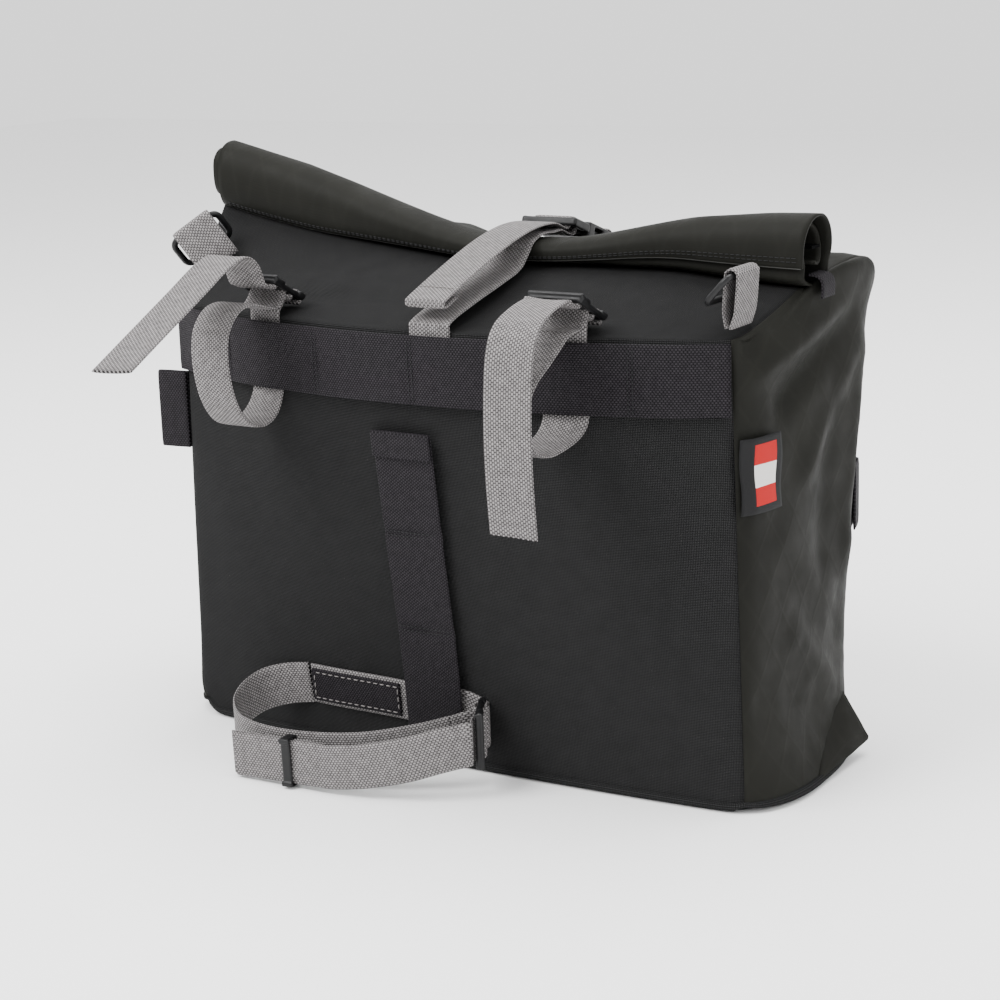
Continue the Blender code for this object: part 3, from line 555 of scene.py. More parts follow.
def side_x(y, z):
    share = y / DEPTH + 0.5
    bulge = 0.006 + 0.016 * math.exp(-z / 0.02)
    return mix(back_half(z), front_half(z), share) + bulge * (1.0 - abs(2.0 * share - 1.0) ** 3)


def base_z(y):
    """The base rises a little towards the front."""
    return FABRIC / 2 + BASE_RISE * smooth((y - 0.03) / (DEPTH / 2 - 0.03))


def side_slope(x, z):
    return 2.0 * back_bulge(z) * x / back_half(z) ** 2


def ripple(x, z):
    """Slow waves in the strap side, which the webbing on it shares; nothing at its edges."""
    calm = smooth((back_half(z) - abs(x)) / 0.04) * smooth(z / 0.03)
    slow = noise.noise(Vector((x * 11.0, 3.1, z * 9.0))) * 0.0018
    return calm * (0.0007 + slow + noise.noise(Vector((x * 30.0, 8.7, z * 24.0))) * 0.0005)


def outward(x, z, distance):
    """A point that far outside the strap side's middle surface."""
    normal = Vector((side_slope(x, z), -1.0, 0.0)).normalized()
    return Vector((x, flat_back_y(x, z), z)) + normal * (distance + ripple(x, z))


def from_pinch(x):
    """Distance from the stretch of roll that the closure strap presses flat."""
    return max(abs(x - CLOSURE_X) - 0.013, 0.0)


def roll_axis(x):
    away = from_pinch(x)
    if x < CLOSURE_X:
        return ROLL_LOW_Z + ROLL_LEFT_RISE * (math.sqrt(away ** 2 + 0.03 ** 2) - 0.03) / 0.15
    return ROLL_LOW_Z + ROLL_RIGHT_RISE * smooth(away / 0.1)


def roll_half(x):
    end = ROLL_LEFT_HALF if x < CLOSURE_X else ROLL_RIGHT_HALF
    return mix(ROLL_FLAT_HALF, end, smooth(from_pinch(x) / 0.165))


def droop(x):
    """How much the roll's inner turn hangs out below its hem: only right of the closure strap."""
    return smooth((x - 0.04) / 0.06)


CORNER_RADIUS = {-1: 0.02, 1: 0.009}     # of the strap side's lower corners
BOTTOM_RADIUS = 0.005
SEAM_EASE = 0.0026                       # how far the upright seams are rounded off


def eased(point):
    """Rounds the outline off at the upright seams, the bottom edge and the lower corners."""
    x, y, z = point
    sign = 1.0 if x >= 0.0 else -1.0
    half = back_half(min(z, RIM_Z)) if y < 0.0 else front_half(min(z, RIM_Z))
    fade = smooth((0.285 - z) / 0.03)
    near = math.hypot(half - abs(x), DEPTH / 2 - abs(y)) if z < 0.285 else 1.0
    pull = SEAM_EASE * math.exp(-near / 0.006) * fade
    x -= sign * pull
    y -= math.copysign(pull, y)
    if z < BOTTOM_RADIUS:
        inset = BOTTOM_RADIUS - math.sqrt(max(BOTTOM_RADIUS ** 2 - (BOTTOM_RADIUS - z) ** 2, 0.0))
        x *= 1.0 - inset / 0.19
        y *= 1.0 - inset / 0.08
    radius = CORNER_RADIUS[int(sign)]
    out = abs(x) - (BACK_HALF_LOW - radius)
    down = radius - z
    if out > 0.0 and down > 0.0:
        keep = max(out, down) / math.hypot(out, down)
        x = sign * (BACK_HALF_LOW - radius + out * keep)
        z = radius - down * keep
    return Vector((x, y, z))


# Folds in the cloth: two ends, depth (negative is a valley) and width.
SIDE_FOLDS = mm([
    ((190, -58, 276), (190, -61, 240), -8, 8),
    ((190, 30, 262), (190, -59, 236), 6, 8),
    ((190, 38, 252), (190, -35, 214), -6, 9),
    ((190, 52, 240), (190, -10, 170), 3.6, 9),
    ((190, 60, 235), (190, 50, 110), 3.4, 9),
    ((190, 26, 215), (190, 16, 110), -2.6, 11),
    ((190, -30, 150), (190, 40, 90), 1.6, 14),
    ((190, -60, 60), (190, 10, 35), -1.6, 10),
    ((190, -20, 90), (190, 50, 30), 2.2, 10),
    ((190, 60, 125), (190, 60, 20), 2.6, 14),
])
BACK_FOLDS = mm([
    ((178, -78, 268), (90, -60, 268), -5, 7.5),
    ((170, -80, 258), (120, -85, 262), 2.5, 6),
    ((-160, -60, 275), (-60, -50, 268), 2.8, 10),
    ((-130, -80, 262), (-20, -60, 270), -3, 8),
    ((40, -70, 265), (85, -40, 272), 2.2, 8),
    ((-175, -70, 200), (-120, -80, 70), 1.2, 20),
    ((60, -100, 200), (150, -80, 80), 1.2, 24),
    ((-150, -80, 30), (-60, -80, 20), 1, 12),
])
FRONT_FOLDS = mm([
    ((-150, 80, 270), (100, 85, 268), -4, 12),
    ((160, 75, 262), (60, 85, 200), 4, 12),
    ((-170, 75, 258), (-80, 85, 190), 4, 12),
    ((20, 85, 260), (-60, 85, 150), -2.6, 16),
    ((100, 80, 140), (160, 75, 40), 2.6, 15),
    ((-130, 80, 120), (-170, 75, 30), 2.6, 15),
    ((-60, 85, 60), (80, 85, 40), -2, 14),
])


def fold(point, start, end, depth, width):
    """One crease: deepest along its line, sharp on one flank and soft on the other."""
    a, b = Vector(start), Vector(end)
    line = b - a
    share = (point - a).dot(line) / line.length_squared
    nearest = a + line * min(max(share, 0.0), 1.0)
    away = (point - nearest).length
    tip = smooth(share / 0.2 + 0.6) * smooth((1.0 - share) / 0.3 + 0.5)
    return depth * bump_at(away, width) * tip


def crumple(point, scale, sharp):
    """Irregular facets, like paper that has been folded; from -1 to 1."""
    soft = noise.noise(point * scale)
    ridge = 1.0 - 2.0 * abs(noise.noise(point * scale * 1.7 + Vector((4.0, 9.0, 2.0))))
    return mix(soft, ridge - 0.6, sharp)


def relief_of(point, folds, amount, mirrored=False):
    spot = Vector((-point.x, point.y, point.z)) if mirrored else point
    total = sum(fold(spot, *one) for one in folds)
    return total + amount * crumple(point, 22.0, 0.45) + amount * 0.45 * crumple(point, 55.0, 0.5)


def surface_normal(rows, i, j):
    low, high = rows[max(i - 1, 0)][j], rows[min(i + 1, len(rows) - 1)][j]
    left, right = rows[i][max(j - 1, 0)], rows[i][min(j + 1, len(rows[i]) - 1)]
    return (right - left).cross(high - low).normalized()


def collar_point(rim, mouth, t):
    """The collar hollows on the strap side; in front and at the ends it stands up like a shoulder."""
    front = smooth((rim[1] + 0.05) / 0.1)
    shoulder = front * smooth((abs(rim[0] - CLOSURE_X) - 0.025) / 0.06)
    inward = t ** mix(1.0, 1.9, shoulder)
    x = mix(rim[0], mouth[0], inward)
    y = mix(rim[1], mouth[1], inward)
    tucked = mix(0.8, 1.06, max(droop(mouth[0]), front))
    high = roll_axis(mouth[0]) - tucked * roll_half(mouth[0]) - 0.0012
    rise = mix(t ** mix(1.3, 0.8, front), 1.0 - (1.0 - t) ** 2.2, shoulder)
    arch = math.sin(math.pi * t)
    x += math.copysign(0.006 * front * arch, rim[0]) * smooth((abs(rim[0]) - 0.17) / 0.02)
    return Vector((x, y, mix(RIM_Z, high, rise) + mix(0.008 * front, 0.013, shoulder) * arch))


def wall_rows(rim_at, mouth_at, wall_at, across, levels, collar_levels):
    """Rows of points up one wall and on over its part of the collar to the roll."""
    rows = [[eased(wall_at(s, t)) for s in across] for t in levels]
    for t in collar_levels:
        rows.append([eased(collar_point(rim_at(s), mouth_at(s), t)) for s in across])
    return rows


def with_folds(rows, folds, amount, reach, mirrored=False):
    """Moves each point along the surface's normal; the sewn edges stay where they are."""
    result = []
    for i, row in enumerate(rows):
        last = len(row) - 1
        lengths = running_length(row)
        moved = []
        for j, point in enumerate(row):
            edge = smooth(min(lengths[j], lengths[last] - lengths[j]) / reach)
            calm = edge * smooth((point.z - 0.003) / 0.02) * smooth((len(rows) - 1 - i) / 3.0)
            shift = relief_of(point, folds, amount, mirrored) * calm
            moved.append(point + surface_normal(rows, i, j) * shift)
        result.append(moved)
    return result


MOUTH_HALF = ROLL_HALF_LENGTH - 0.006
MOUTH_Y = 0.008
WALL_LEVELS = [t ** 1.15 for t in steps(0.0, 1.0, 66)]
COLLAR_LEVELS = steps(0.0, 1.0, 20)[1:]
BINDING_Z = 0.0048


def back_wall(s, t):
    z = mix(BINDING_Z - 0.002, RIM_Z, t)
    x = s * back_half(z)
    return (x, flat_back_y(x, z) - ripple(x, z), z)


def front_wall(s, t):
    z = mix(base_z(DEPTH / 2) + BINDING_Z - 0.002, RIM_Z, t)
    x = -s * front_half(z)
    return (x, front_y(x, z), z)


def side_wall(sign):
    def wall(s, t):
        y = DEPTH * (s - 0.5)
        z = mix(base_z(y) + BINDING_Z - 0.002, RIM_Z, t)
        return (sign * side_x(y, z), y, z)
    return wall


def make_walls():
    """Four panels, each one cloth from the base up over its part of the collar to the roll."""
    wide = steps(-1.0, 1.0, 96)
    rows = wall_rows(lambda s: (s * BACK_HALF_HIGH, flat_back_y(s * BACK_HALF_HIGH, RIM_Z)),
                     lambda s: (s * MOUTH_HALF, -MOUTH_Y), back_wall, wide, WALL_LEVELS, COLLAR_LEVELS)
    back = cloth("back_panel_cloth", with_folds(rows, BACK_FOLDS, 0.0006, 0.012), "cordura")
    rows = wall_rows(lambda s: (-s * FRONT_HALF_HIGH, front_y(-s * FRONT_HALF_HIGH, RIM_Z)),
                     lambda s: (-s * MOUTH_HALF, MOUTH_Y), front_wall, wide, WALL_LEVELS, COLLAR_LEVELS)
    front = cloth("front_panel_cloth", with_folds(rows, FRONT_FOLDS, 0.0022, 0.012), "laminate")
    panels = [(back, "back_panel"), (front, "front_panel")]
    for side, sign in (("right", 1), ("left", -1)):
        def rim(s):
            y = DEPTH * (s - 0.5)
            return (sign * side_x(y, RIM_Z), y)

        def mouth(s):
            return (sign * (MOUTH_HALF + 0.003 * math.sin(math.pi * s)), mix(-MOUTH_Y, MOUTH_Y, s))

        rows = wall_rows(rim, mouth, side_wall(sign), steps(0.0, 1.0, 44), WALL_LEVELS, COLLAR_LEVELS)
        if sign < 0:
            rows = [list(reversed(row)) for row in rows]
        rows = with_folds(rows, SIDE_FOLDS, 0.0008, 0.01, mirrored=sign < 0)
        panel = cloth(f"{side}_side_cloth", rows, "laminate")
        panels.append((panel, f"{side}_side_panel"))
    for panel, node in panels:
        bend(panel, node)
    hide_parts("collar")


def side_foot(sign, shares, height, out):
    points = []
    for s in shares:
        y = DEPTH * (s - 0.5)
        z = base_z(y) + height
        points.append((sign * (side_x(y, z) + out), y, z))
    return points


def base_outline(height, out):
    """Points round the walls' foot at one height above the base, a little outside them."""
    low = base_z(DEPTH / 2) + height
    half, front = back_half(height), front_half(low)
    points = [(s * half, flat_back_y(s * half, height) - out, height) for s in steps(-1.0, 1.0, 61)[:-1]]
    points += side_foot(1, steps(0.0, 1.0, 31)[:-1], height, out)
    points += [(s * front, front_y(s * front, low) + out, low) for s in steps(1.0, -1.0, 61)[:-1]]
    return points + side_foot(-1, steps(1.0, 0.0, 31)[:-1], height, out)


def make_base():
    """The base, whose edge turns up round the foot of the walls like a binding."""
    rows = []
    edge = ((BINDING_Z + 0.0002, 0.0003), (BINDING_Z, 0.0013), (0.003, 0.0015), (0.0012, 0.0009))
    for height, out in edge:
        rows.append([eased(point) for point in base_outline(height, out)])
    foot = base_outline(0.0, 0.0)
    for share in (0.985, 0.96, 0.9, 0.8, 0.6, 0.4, 0.2, 0.02):
        ring = []
        for x, y, z in foot:
            spot = eased((x, y, FABRIC / 2 + 0.0004)) * share
            spot.z = base_z(spot.y) + (eased((x, y, 0.0)).z if share > 0.95 else 0.0)
            ring.append(spot)
        rows.append(ring)
    rows.reverse()
    base = cloth("base_cloth", rows, "cordura", closed=True)
    attach(base, "bag", "base_panel")


def make_corner_folds():
    """Pointed folds of spare cloth at the lower front corners."""
    for side, sign in (("right", 1), ("left", -1)):
        top = Vector((sign * 0.1885, 0.048, 0.037))
        foot = Vector((sign * 0.2035, -0.015, 0.0035))
        tip = Vector((sign * 0.2055, 0.0495, 0.0085))
        rows = []
        for reach in steps(0.0, 0.97, 14):
            row = []
            for t in steps(0.0, 1.0, 20):
                edge = top.lerp(foot, t)
                edge += Vector((-sign * 0.003, 0.0, 0.0)) * math.sin(math.pi * t)
                spot = edge.lerp(tip, reach)
                puff = 0.0018 * math.sin(math.pi * t) * math.sin(math.pi * reach)
                spot += Vector((sign * 0.6, -0.7, 0.3)) * (puff + 0.0006 * crumple(spot, 70.0, 0.6))
                row.append(spot)
            rows.append(row)
        flap = cloth(f"{side}_corner_cloth", rows, "laminate", 0.0024)
        attach(flap, "bag", f"{side}_corner_fold")


# ---- roll
ROLL_END_ANGLE = -485.0      # of the core; two turns, over the top first
ROLL_SHRINK = 0.55


def hem_angle(x):
    """The hem lies under the roll at the left end and rises up its face towards the right."""
    return mix(238.0, 203.0, smooth((x + 0.18) / 0.24))


def roll_point(x, share, lift=0.0):
    """A point on the wound cloth, from the hem at share 0 to the core at share 1."""
    degrees = mix(hem_angle(x), ROLL_END_ANGLE, share)
    angle = math.radians(degrees)
    across, up = math.cos(angle), math.sin(angle)
    below = smooth((-degrees - 30.0) / 35.0) * smooth((152.0 + degrees) / 24.0)
    size = (1.0 - ROLL_SHRINK * share) * (1.0 + 0.42 * below * droop(x))
    outer = smooth((0.75 - share) / 0.2)
    slack = from_pinch(x) / 0.17
    spot = Vector((x * 0.35, across * 0.012, up * 0.012 + share * 0.01))
    grow = lift + outer * slack * 0.0012 * crumple(spot, 40.0, 0.4)
    square = 1.0 if across > 0.0 else mix(0.86, 0.7, smooth(-up * 2.0 + 0.5))
    y = size * (ROLL_HALF_DEPTH - FABRIC / 2) * math.copysign(abs(across) ** square, across)
    z = size * (roll_half(x) - FABRIC / 2) * math.copysign(abs(up) ** square, up)
    return Vector((x, y, roll_axis(x) + z)) + Vector((0.0, across, up)) * grow


def roll_x(u, share):
    """Ends of the roll: the inner turns stand out a little at the left end."""
    left = -0.188 - 0.007 * smooth((share - 0.22) / 0.06) * (1.0 - 0.5 * smooth((share - 0.7) / 0.1))
    right = ROLL_HALF_LENGTH + 0.003 * math.sin(share * 7.0)
    return mix(left, right, u)


def make_roll():
    shares = steps(0.0, 1.0, 150)
    rows = [[roll_point(roll_x(u, share), share) for u in steps(1.0, 0.0, 120)] for share in shares]
    attach(cloth("roll_top_cloth", rows, "laminate"), "roll", "roll_top")
    seam = Seam("roll_stitching", "black_thread", "roll")
    for share in (0.016, 0.023):
        line = [roll_point(x, share, FABRIC / 2 + 0.0001) for x in steps(-0.184, 0.192, 90)]
        turned = [math.radians(hem_angle(point.x)) for point in line]
        seam.row(line, [Vector((0.0, math.cos(turn), math.sin(turn))) for turn in turned])
    seam.done()
    # A thin tube along the hem's real edge; its lighter grey is a painted highlight.
    hem = [roll_point(x, 0.0005, 0.0003) for x in steps(-0.186, 0.194, 90)]
    attach(tube("roll_hem_edge", hem, 0.0005, "hem_highlight_thread", sides=6), "roll")
    hanging = ((0.1935, 0.28), (0.199, 0.279), (0.2015, 0.2755), (0.2015, 0.268))
    stub = [Vector((x, 0.001, z)) for x, z in hanging]
    tab = strap("roll_end_tab", curve_through(stub, 5), Vector((0.0, 1.0, 0.0)), "black_web", 0.016)
    attach(tab, "roll")


# ---- webbing on the strap side
STITCH_LINES = [-0.125, -0.055, 0.009, 0.131]
STITCH_DIP = 0.0007              # how deep a row of stitches presses the webbing in
TACK = (0.0026, 0.0019)          # pitch and length of the stitches across the black webbing


def level_offset(x, half):
    """How far out the level webbing lies: it dips at its stitching and at its ends."""
    sewn = sum(bump_at(x - line, 0.004) for line in STITCH_LINES)
    return mix(LAYER, SECOND_LAYER, smooth((half - abs(x)) / 0.03)) - STITCH_DIP * sewn


def make_level_webbing():
    low, high = LEVEL_WEB_Z
    middle = (low + high) / 2
    half = back_half(middle) - 0.0012
    path, sides = [], []
    for x in steps(-half, half, 130):
        offset = level_offset(x, half)
        path.append(outward(x, middle, offset))
        sides.append((outward(x, high, offset) - outward(x, low, offset)).normalized())
    attach(strap("level_webbing_cloth", path, sides, "black_web", BROAD), "bag", "level_webbing")
    seam = Seam("level_stitching", "black_thread", "bag")
    for line in STITCH_LINES:
        for x in (line - 0.0012, line + 0.0012):
            top = level_offset(x, half) + WEB / 2 + 0.0002
            spots = [outward(x, z, top) for z in steps(low + 0.001, high - 0.001, 9)]
            seam.row(spots, Vector((side_slope(x, middle), -1.0, 0.0)).normalized(), *TACK)
    seam.done()


def make_upright_webbing():
    low, high = UPRIGHT_WEB_Z
    path = []
    for z in steps(low, high, 90):
        sewn = sum(bump_at(z - line, 0.003) for line in (0.141, 0.083))
        offset = mix(LAYER, SECOND_LAYER, smooth((z - low) / 0.008)) - STITCH_DIP * sewn
        path.append(outward(0.0, z, offset))
    attach(strap("upright_webbing_cloth", path, ALONG, "black_web", BROAD), "bag", "upright_webbing")
    turn = [outward(0.0, high + 0.0006, SECOND_LAYER + 0.0002),
            outward(0.0, high + 0.0004, SECOND_LAYER + 0.0017)]
    hem = [outward(0.0, z, SECOND_LAYER + WEB + 0.0004) for z in steps(high - 0.001, high - 0.0135, 8)]
    attach(strap("upright_webbing_hem", curve_through(turn + hem, 3), ALONG, "black_web", BROAD), "bag")
    seam = Seam("upright_stitching", "black_thread", "bag")
    for z in (0.1412, 0.1388, 0.0842, 0.0818, high - 0.011):
        top = SECOND_LAYER + WEB / 2 - 0.0004 + (WEB + 0.0004 if z > 0.18 else 0.0)
        seam.row([outward(x, z, top) for x in steps(-0.018, 0.018, 9)], Vector((0.0, -1.0, 0.0)), *TACK)
    seam.done()


# ---- buckles
class BuckleFrame:
    """A buckle's axes: v from its anchor bar to its other end, n its upper face, u its bars."""

    def __init__(self, anchor, v, n):
        self.anchor = Vector(anchor)
        self.v = Vector(v).normalized()
        self.n = Vector(n).normalized()
        self.u = self.v.cross(self.n)

    def at(self, v, n):
        return self.anchor + self.v * v + self.n * n

    def path(self, spots):
        return [self.at(v, n) for v, n in spots]

    def matrix(self):
        return Matrix.Translation(self.anchor) @ Matrix((self.u, self.v, self.n)).transposed().to_4x4()


def make_ladder_lock(name, frame_of, body, node):
    """Two rails, three bars and a raised, rounded lip, melted into one moulding."""
    width, rail = 0.032, 0.003
    blocks = [((side * (width - rail) / 2, 0.0128, 0.0), (rail, 0.029, 0.0032), 0.0011) for side in (-1, 1)]
    for v, length, n, height in ((-0.0001, 0.0038, 0.0, 0.003), (0.0078, 0.0033, 0.0002, 0.0028),
                                 (0.0157, 0.003, 0.0, 0.003)):
        blocks.append(((0.0, v, n), (width - rail, length, height), 0.001))
    blocks.append(((0.0, 0.0252, 0.0006), (width - 0.0004, 0.0044, 0.0038), 0.0014))
    blocks.append(((0.0, 0.0266, 0.0024), (width + 0.001, 0.0026, 0.0022), 0.001))
    for side in (-1, 1):
        blocks.append(((side * 0.0152, 0.0225, 0.0014), (0.003, 0.009, 0.003), 0.0012))
        blocks.append(((side * 0.0147, 0.001, 0.001), (0.0034, 0.007, 0.0036), 0.0014))
    attach(fused(name, blocks, frame_of.matrix(), 0.00042), body, node)


LOCK_WRAP = mm([(10, -4.5), (5.8, -3.8), (4.2, -1.2), (3.8, 1.4), (2.2, 3), (-0.4, 3.4), (-3.2, 2.6),
                (-4.4, 0.2), (-3.6, -2.8)])
LOCK_SPOTS = mm([(12.5, -7), (11.7, -3), (11.7, -0.2), (12.5, 2), (14.2, 2.9), (16, 3), (18, 2.4),
                 (19.5, 0.8), (20.3, -1.2), (21.8, -2.7), (24.5, -3.2), (26.6, -3.4)])


# ---- handlebar straps
LOCK_ANCHOR = (-0.013, 0.264)
LOCK_TILT = math.radians(28.0)
STRAP_TURN = math.atan(side_slope(STRAP_X, LEVEL_WEB_Z[1]))
LOOP_POINTS = mm({
    "right": [(1.8, 233), (1.8, 220), (3.4, 211), (11, 205), (23.5, 202), (40, 201.2), (53, 206),
              (60, 216), (59.5, 228), (52, 239.5), (38, 247.5), (27, 254), (17, 260)],
    "left": [(1.8, 233), (1.8, 220), (3.5, 210.5), (11, 201.5), (23.5, 197.5), (37, 202), (47, 216),
             (51.5, 235), (50, 252), (41, 262.5), (29, 265.5), (17, 263)],
})
TAIL_POINTS = mm({
    "right": [(21.5, 276.8), (37, 274.5), (53, 268.8), (61.2, 258), (64.8, 240), (66.4, 215), (65.6, 190),
              (63, 164)],
    "left": [(21, 286), (30, 291.5), (44, 288.5), (67, 277), (99, 261), (130, 245.5)],
})
TAIL_DRIFT = {"right": 0.065, "left": 0.0}
TAIL_TWIST = {"right": 0.2, "left": 0.0}


def make_handlebar_strap(side, sign):
    out = Vector((0.0, -1.0, 0.0))
    lying = Vector((math.cos(STRAP_TURN), sign * math.sin(STRAP_TURN), 0.0))
    face = Vector((sign * STRAP_X, flat_back_y(STRAP_X, RIM_Z), 0.0))

    def at(distance, height):
        return face + out * distance + UP * height

    def sides(count, first, last):
        return [lying.lerp(ALONG, smooth((i - first) / (last - first))) for i in range(count)]

    lock = BuckleFrame(at(*LOCK_ANCHOR), out * math.cos(LOCK_TILT) + UP * math.sin(LOCK_TILT),
                       UP * math.cos(LOCK_TILT) - out * math.sin(LOCK_TILT))
    make_ladder_lock(f"{side}_ladder_lock", lock, f"{side}_buckle", f"{side}_buckle")
    sewn = [at(LAYER, 0.237), at(LAYER, 0.2555), at(0.0002, 0.2605)]
    path = curve_through(sewn + lock.path(LOCK_WRAP), 4)
    attach(strap(f"{side}_anchor_web", path, sides(len(path), 4, 12), width=NARROW - 0.001),
           "bag", f"{side}_buckle_anchor")
    loop = curve_through([at(*spot) for spot in LOOP_POINTS[side]], 7)
    attach(strap(f"{side}_loop_web", loop, sides(len(loop), 14, 28)), "bag", f"{side}_strap_loop")
    lead = [loop[-1] - out * 0.0002, at(0.007, 0.2605)] + lock.path(LOCK_SPOTS)
    thread_web = strap(f"{side}_thread_web", curve_through(lead, 3), ALONG)
    attach(thread_web, f"{side}_buckle", f"{side}_strap_thread")
    tail = lock.path(((0.0268, -0.0034), (0.031, -0.0036)))
    tail += [at(d, h) + ALONG * (TAIL_DRIFT[side] * d) for d, h in TAIL_POINTS[side]]
    path = curve_through(tail, 9)
    twisted = (ALONG - out * TAIL_TWIST[side]).normalized()
    widths = [ALONG.lerp(twisted, smooth((i - 14) / 27.0)) for i in range(len(path))]
    hanging = strap(f"{side}_tail_web", path, widths, slant=0.1 * sign, cup=0.0006)
    attach(hanging, f"{side}_tail", f"{side}_strap_tail")


# ---- closure
CLIP_SLOPE = math.radians(-20.0)
CLIP_VOXEL = 0.00045
CLIP_THREAD = mm([(-3.8, -6), (3, -6), (8.5, -5.8), (11.2, -4.4), (12, -2), (12, 0.8), (11, 3),
                  (9.2, 3.8), (7.9, 3.8)])
CLIP_WRAP = mm([(7.9, 3.8), (6.2, 3.4), (4.9, 1.8), (4.5, -0.8), (3.8, -3), (1.6, -4), (-2, -4)])
CLOSURE_TAIL = mm([(8, 299.2), (-12, 299), (-36, 294.5), (-62, 287), (-86, 279), (-104, 272.5),
                   (-106.2, 270.8), (-105.6, 268.8), (-103, 268.8), (-94, 272.2)])
SOCKET_WRAP = mm([(60, -3.5), (53, -5.8), (48, -6), (45.4, -4.6), (45.1, -1), (45.3, 4), (47.5, 6),
                  (51.5, 6), (56, 3), (60, -0.8)])


def in_closure_plane(y, z):
    return Vector((CLOSURE_X, y, z))


def make_clip(clip):
    """The clip's insert with three prongs, and the socket with a ribbed grip that takes them."""
    rails = [((side * 0.0161, 0.009, 0.0), (0.004, 0.018, 0.0052), 0.0014) for side in (-1, 1)]
    bars = [((0.0, v, 0.0), (0.032, size, 0.0046), 0.001)
            for v, size in ((0.0012, 0.0024), (0.0079, 0.0026))]
    front = [((0.0, 0.0157, 0.0), (0.0352, 0.0046, 0.0052), 0.0012)]
    prongs = [((u, 0.027, 0.0), (size, 0.021, 0.0034), 0.0008)
              for u, size in ((-0.0125, 0.0032), (0.0, 0.0044), (0.0125, 0.0032))]
    insert = fused("clip_insert", rails + bars + front + prongs, clip.matrix(), CLIP_VOXEL)
    attach(insert, "closure_insert", "closure_insert")
    plates = [((0.0, v, n), (0.0338, length, 0.002), 0.0009)
              for v, n, length in ((0.0342, -0.0034, 0.032), (0.0295, 0.0034, 0.021))]
    sides = [((side * 0.0158, v, 0.0), (0.0024, length, 0.008), 0.001)
             for side in (-1, 1) for v, length in ((0.022, 0.0072), (0.0425, 0.015))]
    end = [((0.0, v, 0.0), (0.033, length, 0.0074), 0.001)
           for v, length in ((0.0412, 0.003), (0.049, 0.0028))]
    grip = [((0.0, v, 0.0046), (0.018, 0.0012, 0.0008), 0.0003) for v in (0.023, 0.0255, 0.028)]
    socket = fused("clip_socket", plates[:1] + sides + end + grip + plates[1:], clip.matrix(), CLIP_VOXEL)
    attach(socket, "roll", "closure_socket")


def make_closure_back(end):
    """From under the level webbing to the front edge of the stretch over the roll."""
    face = flat_back_y(CLOSURE_X, RIM_Z) - LAYER - 0.0003
    sewn = [(face + 0.0002, 0.232), (face, 0.2545), (face + 0.0025, 0.26), (-0.078, 0.2665),
            (-0.05, 0.273), (-0.03, 0.2785)]
    path = curve_through([in_closure_plane(*spot) for spot in sewn] + [end], 8)
    lying = Vector((1.0, side_slope(CLOSURE_X, RIM_Z), 0.0)).normalized()
    sides = [lying.lerp(ALONG, smooth((i - 8) / 10.0)) for i in range(len(path))]
    bend(strap("closure_back_web", path, sides),
         "closure_strap_back")


def make_closure_tail(clip):
    tail = clip.path(CLIP_WRAP) + [in_closure_plane(*spot) for spot in CLOSURE_TAIL]
    attach(strap("closure_tail_web", curve_through(tail, 5), ALONG), "closure_insert", "closure_tail")
    seam = Seam("closure_tail_stitching", "grey_thread", "closure_insert")
    spots = [Vector((x, -0.0942, 0.2773)) for x in steps(CLOSURE_X - 0.0115, CLOSURE_X + 0.0115, 7)]
    seam.row(spots, Vector((0.0, -0.32, 0.95)), 0.0024, 0.0018)
    seam.done()


def make_front_anchor(clip):
    """Webbing sewn to the front wall that holds the clip's socket."""
    path = [Vector((CLOSURE_X, front_y(CLOSURE_X, z) + LAYER, z)) for z in (0.15, 0.2, 0.248)]
    path.append(path[-1] + Vector((0.0, 0.0005, 0.01)))
    bend(strap("front_anchor_web", curve_through(path + clip.path(SOCKET_WRAP), 6), ALONG),
         "front_anchor_strap")


def make_closure():
    """The closure strap from its sewn end over the roll, its two-part clip and the front webbing."""
    clip = BuckleFrame((CLOSURE_X, 0.0215, 0.299),
                       (0.0, math.cos(CLIP_SLOPE), math.sin(CLIP_SLOPE)),
                       (0.0, -math.sin(CLIP_SLOPE), math.cos(CLIP_SLOPE)))
    make_clip(clip)
    over = []
    clear = GAP + WEB / 2 + 0.0008
    for angle in steps(math.radians(165.0), math.radians(70.0), 12):
        y = (ROLL_HALF_DEPTH + clear) * math.cos(angle)
        z = roll_axis(CLOSURE_X) + (roll_half(CLOSURE_X) + clear) * math.sin(angle)
        over.append(in_closure_plane(y, z))
    bridge = curve_through(over + [clip.at(-0.004, -0.006)], 3)
    bend(strap("over_roll_web", bridge, ALONG),
         "closure_strap_over")
    attach(strap("clip_thread_web", curve_through(clip.path(CLIP_THREAD), 3), ALONG),
           "closure_insert", "closure_strap_thread")
    make_closure_back(over[0])
    make_closure_tail(clip)
    make_front_anchor(clip)


# ---- lower strap
LOWER_Z = 0.0365
LOWER_LOOP = mm([(-103, -83.5, 35), (-114.5, -92, 32), (-118.5, -106, 27), (-114.5, -120, 21.5),
                 (-101, -131, 18), (-78, -136, 17), (-48, -135.5, 18), (-16, -129, 21), (12, -117, 26.5),
                 (29, -107, 31)])
TAIL_START = Vector((-0.028, -0.145, 0.016))
TAIL_END = Vector((-0.092, -0.147, 0.0142))
TAIL_CORNER = mm([(42, -119, 32), (31, -127, 29.5), (13, -136, 24), (-8, -142, 19.3), (-22, -144.2, 17)])
LOWER_WRAP = mm([(-7.5, 1), (-4.5, 3), (-0.4, 3.6), (2.4, 3), (3.9, 1.2), (4.2, -1.4), (3, -3.4),
                 (0.2, -3.8), (-3, -3.4)])
LEANING = Vector((0.0, -0.0806, 1.0)).normalized()


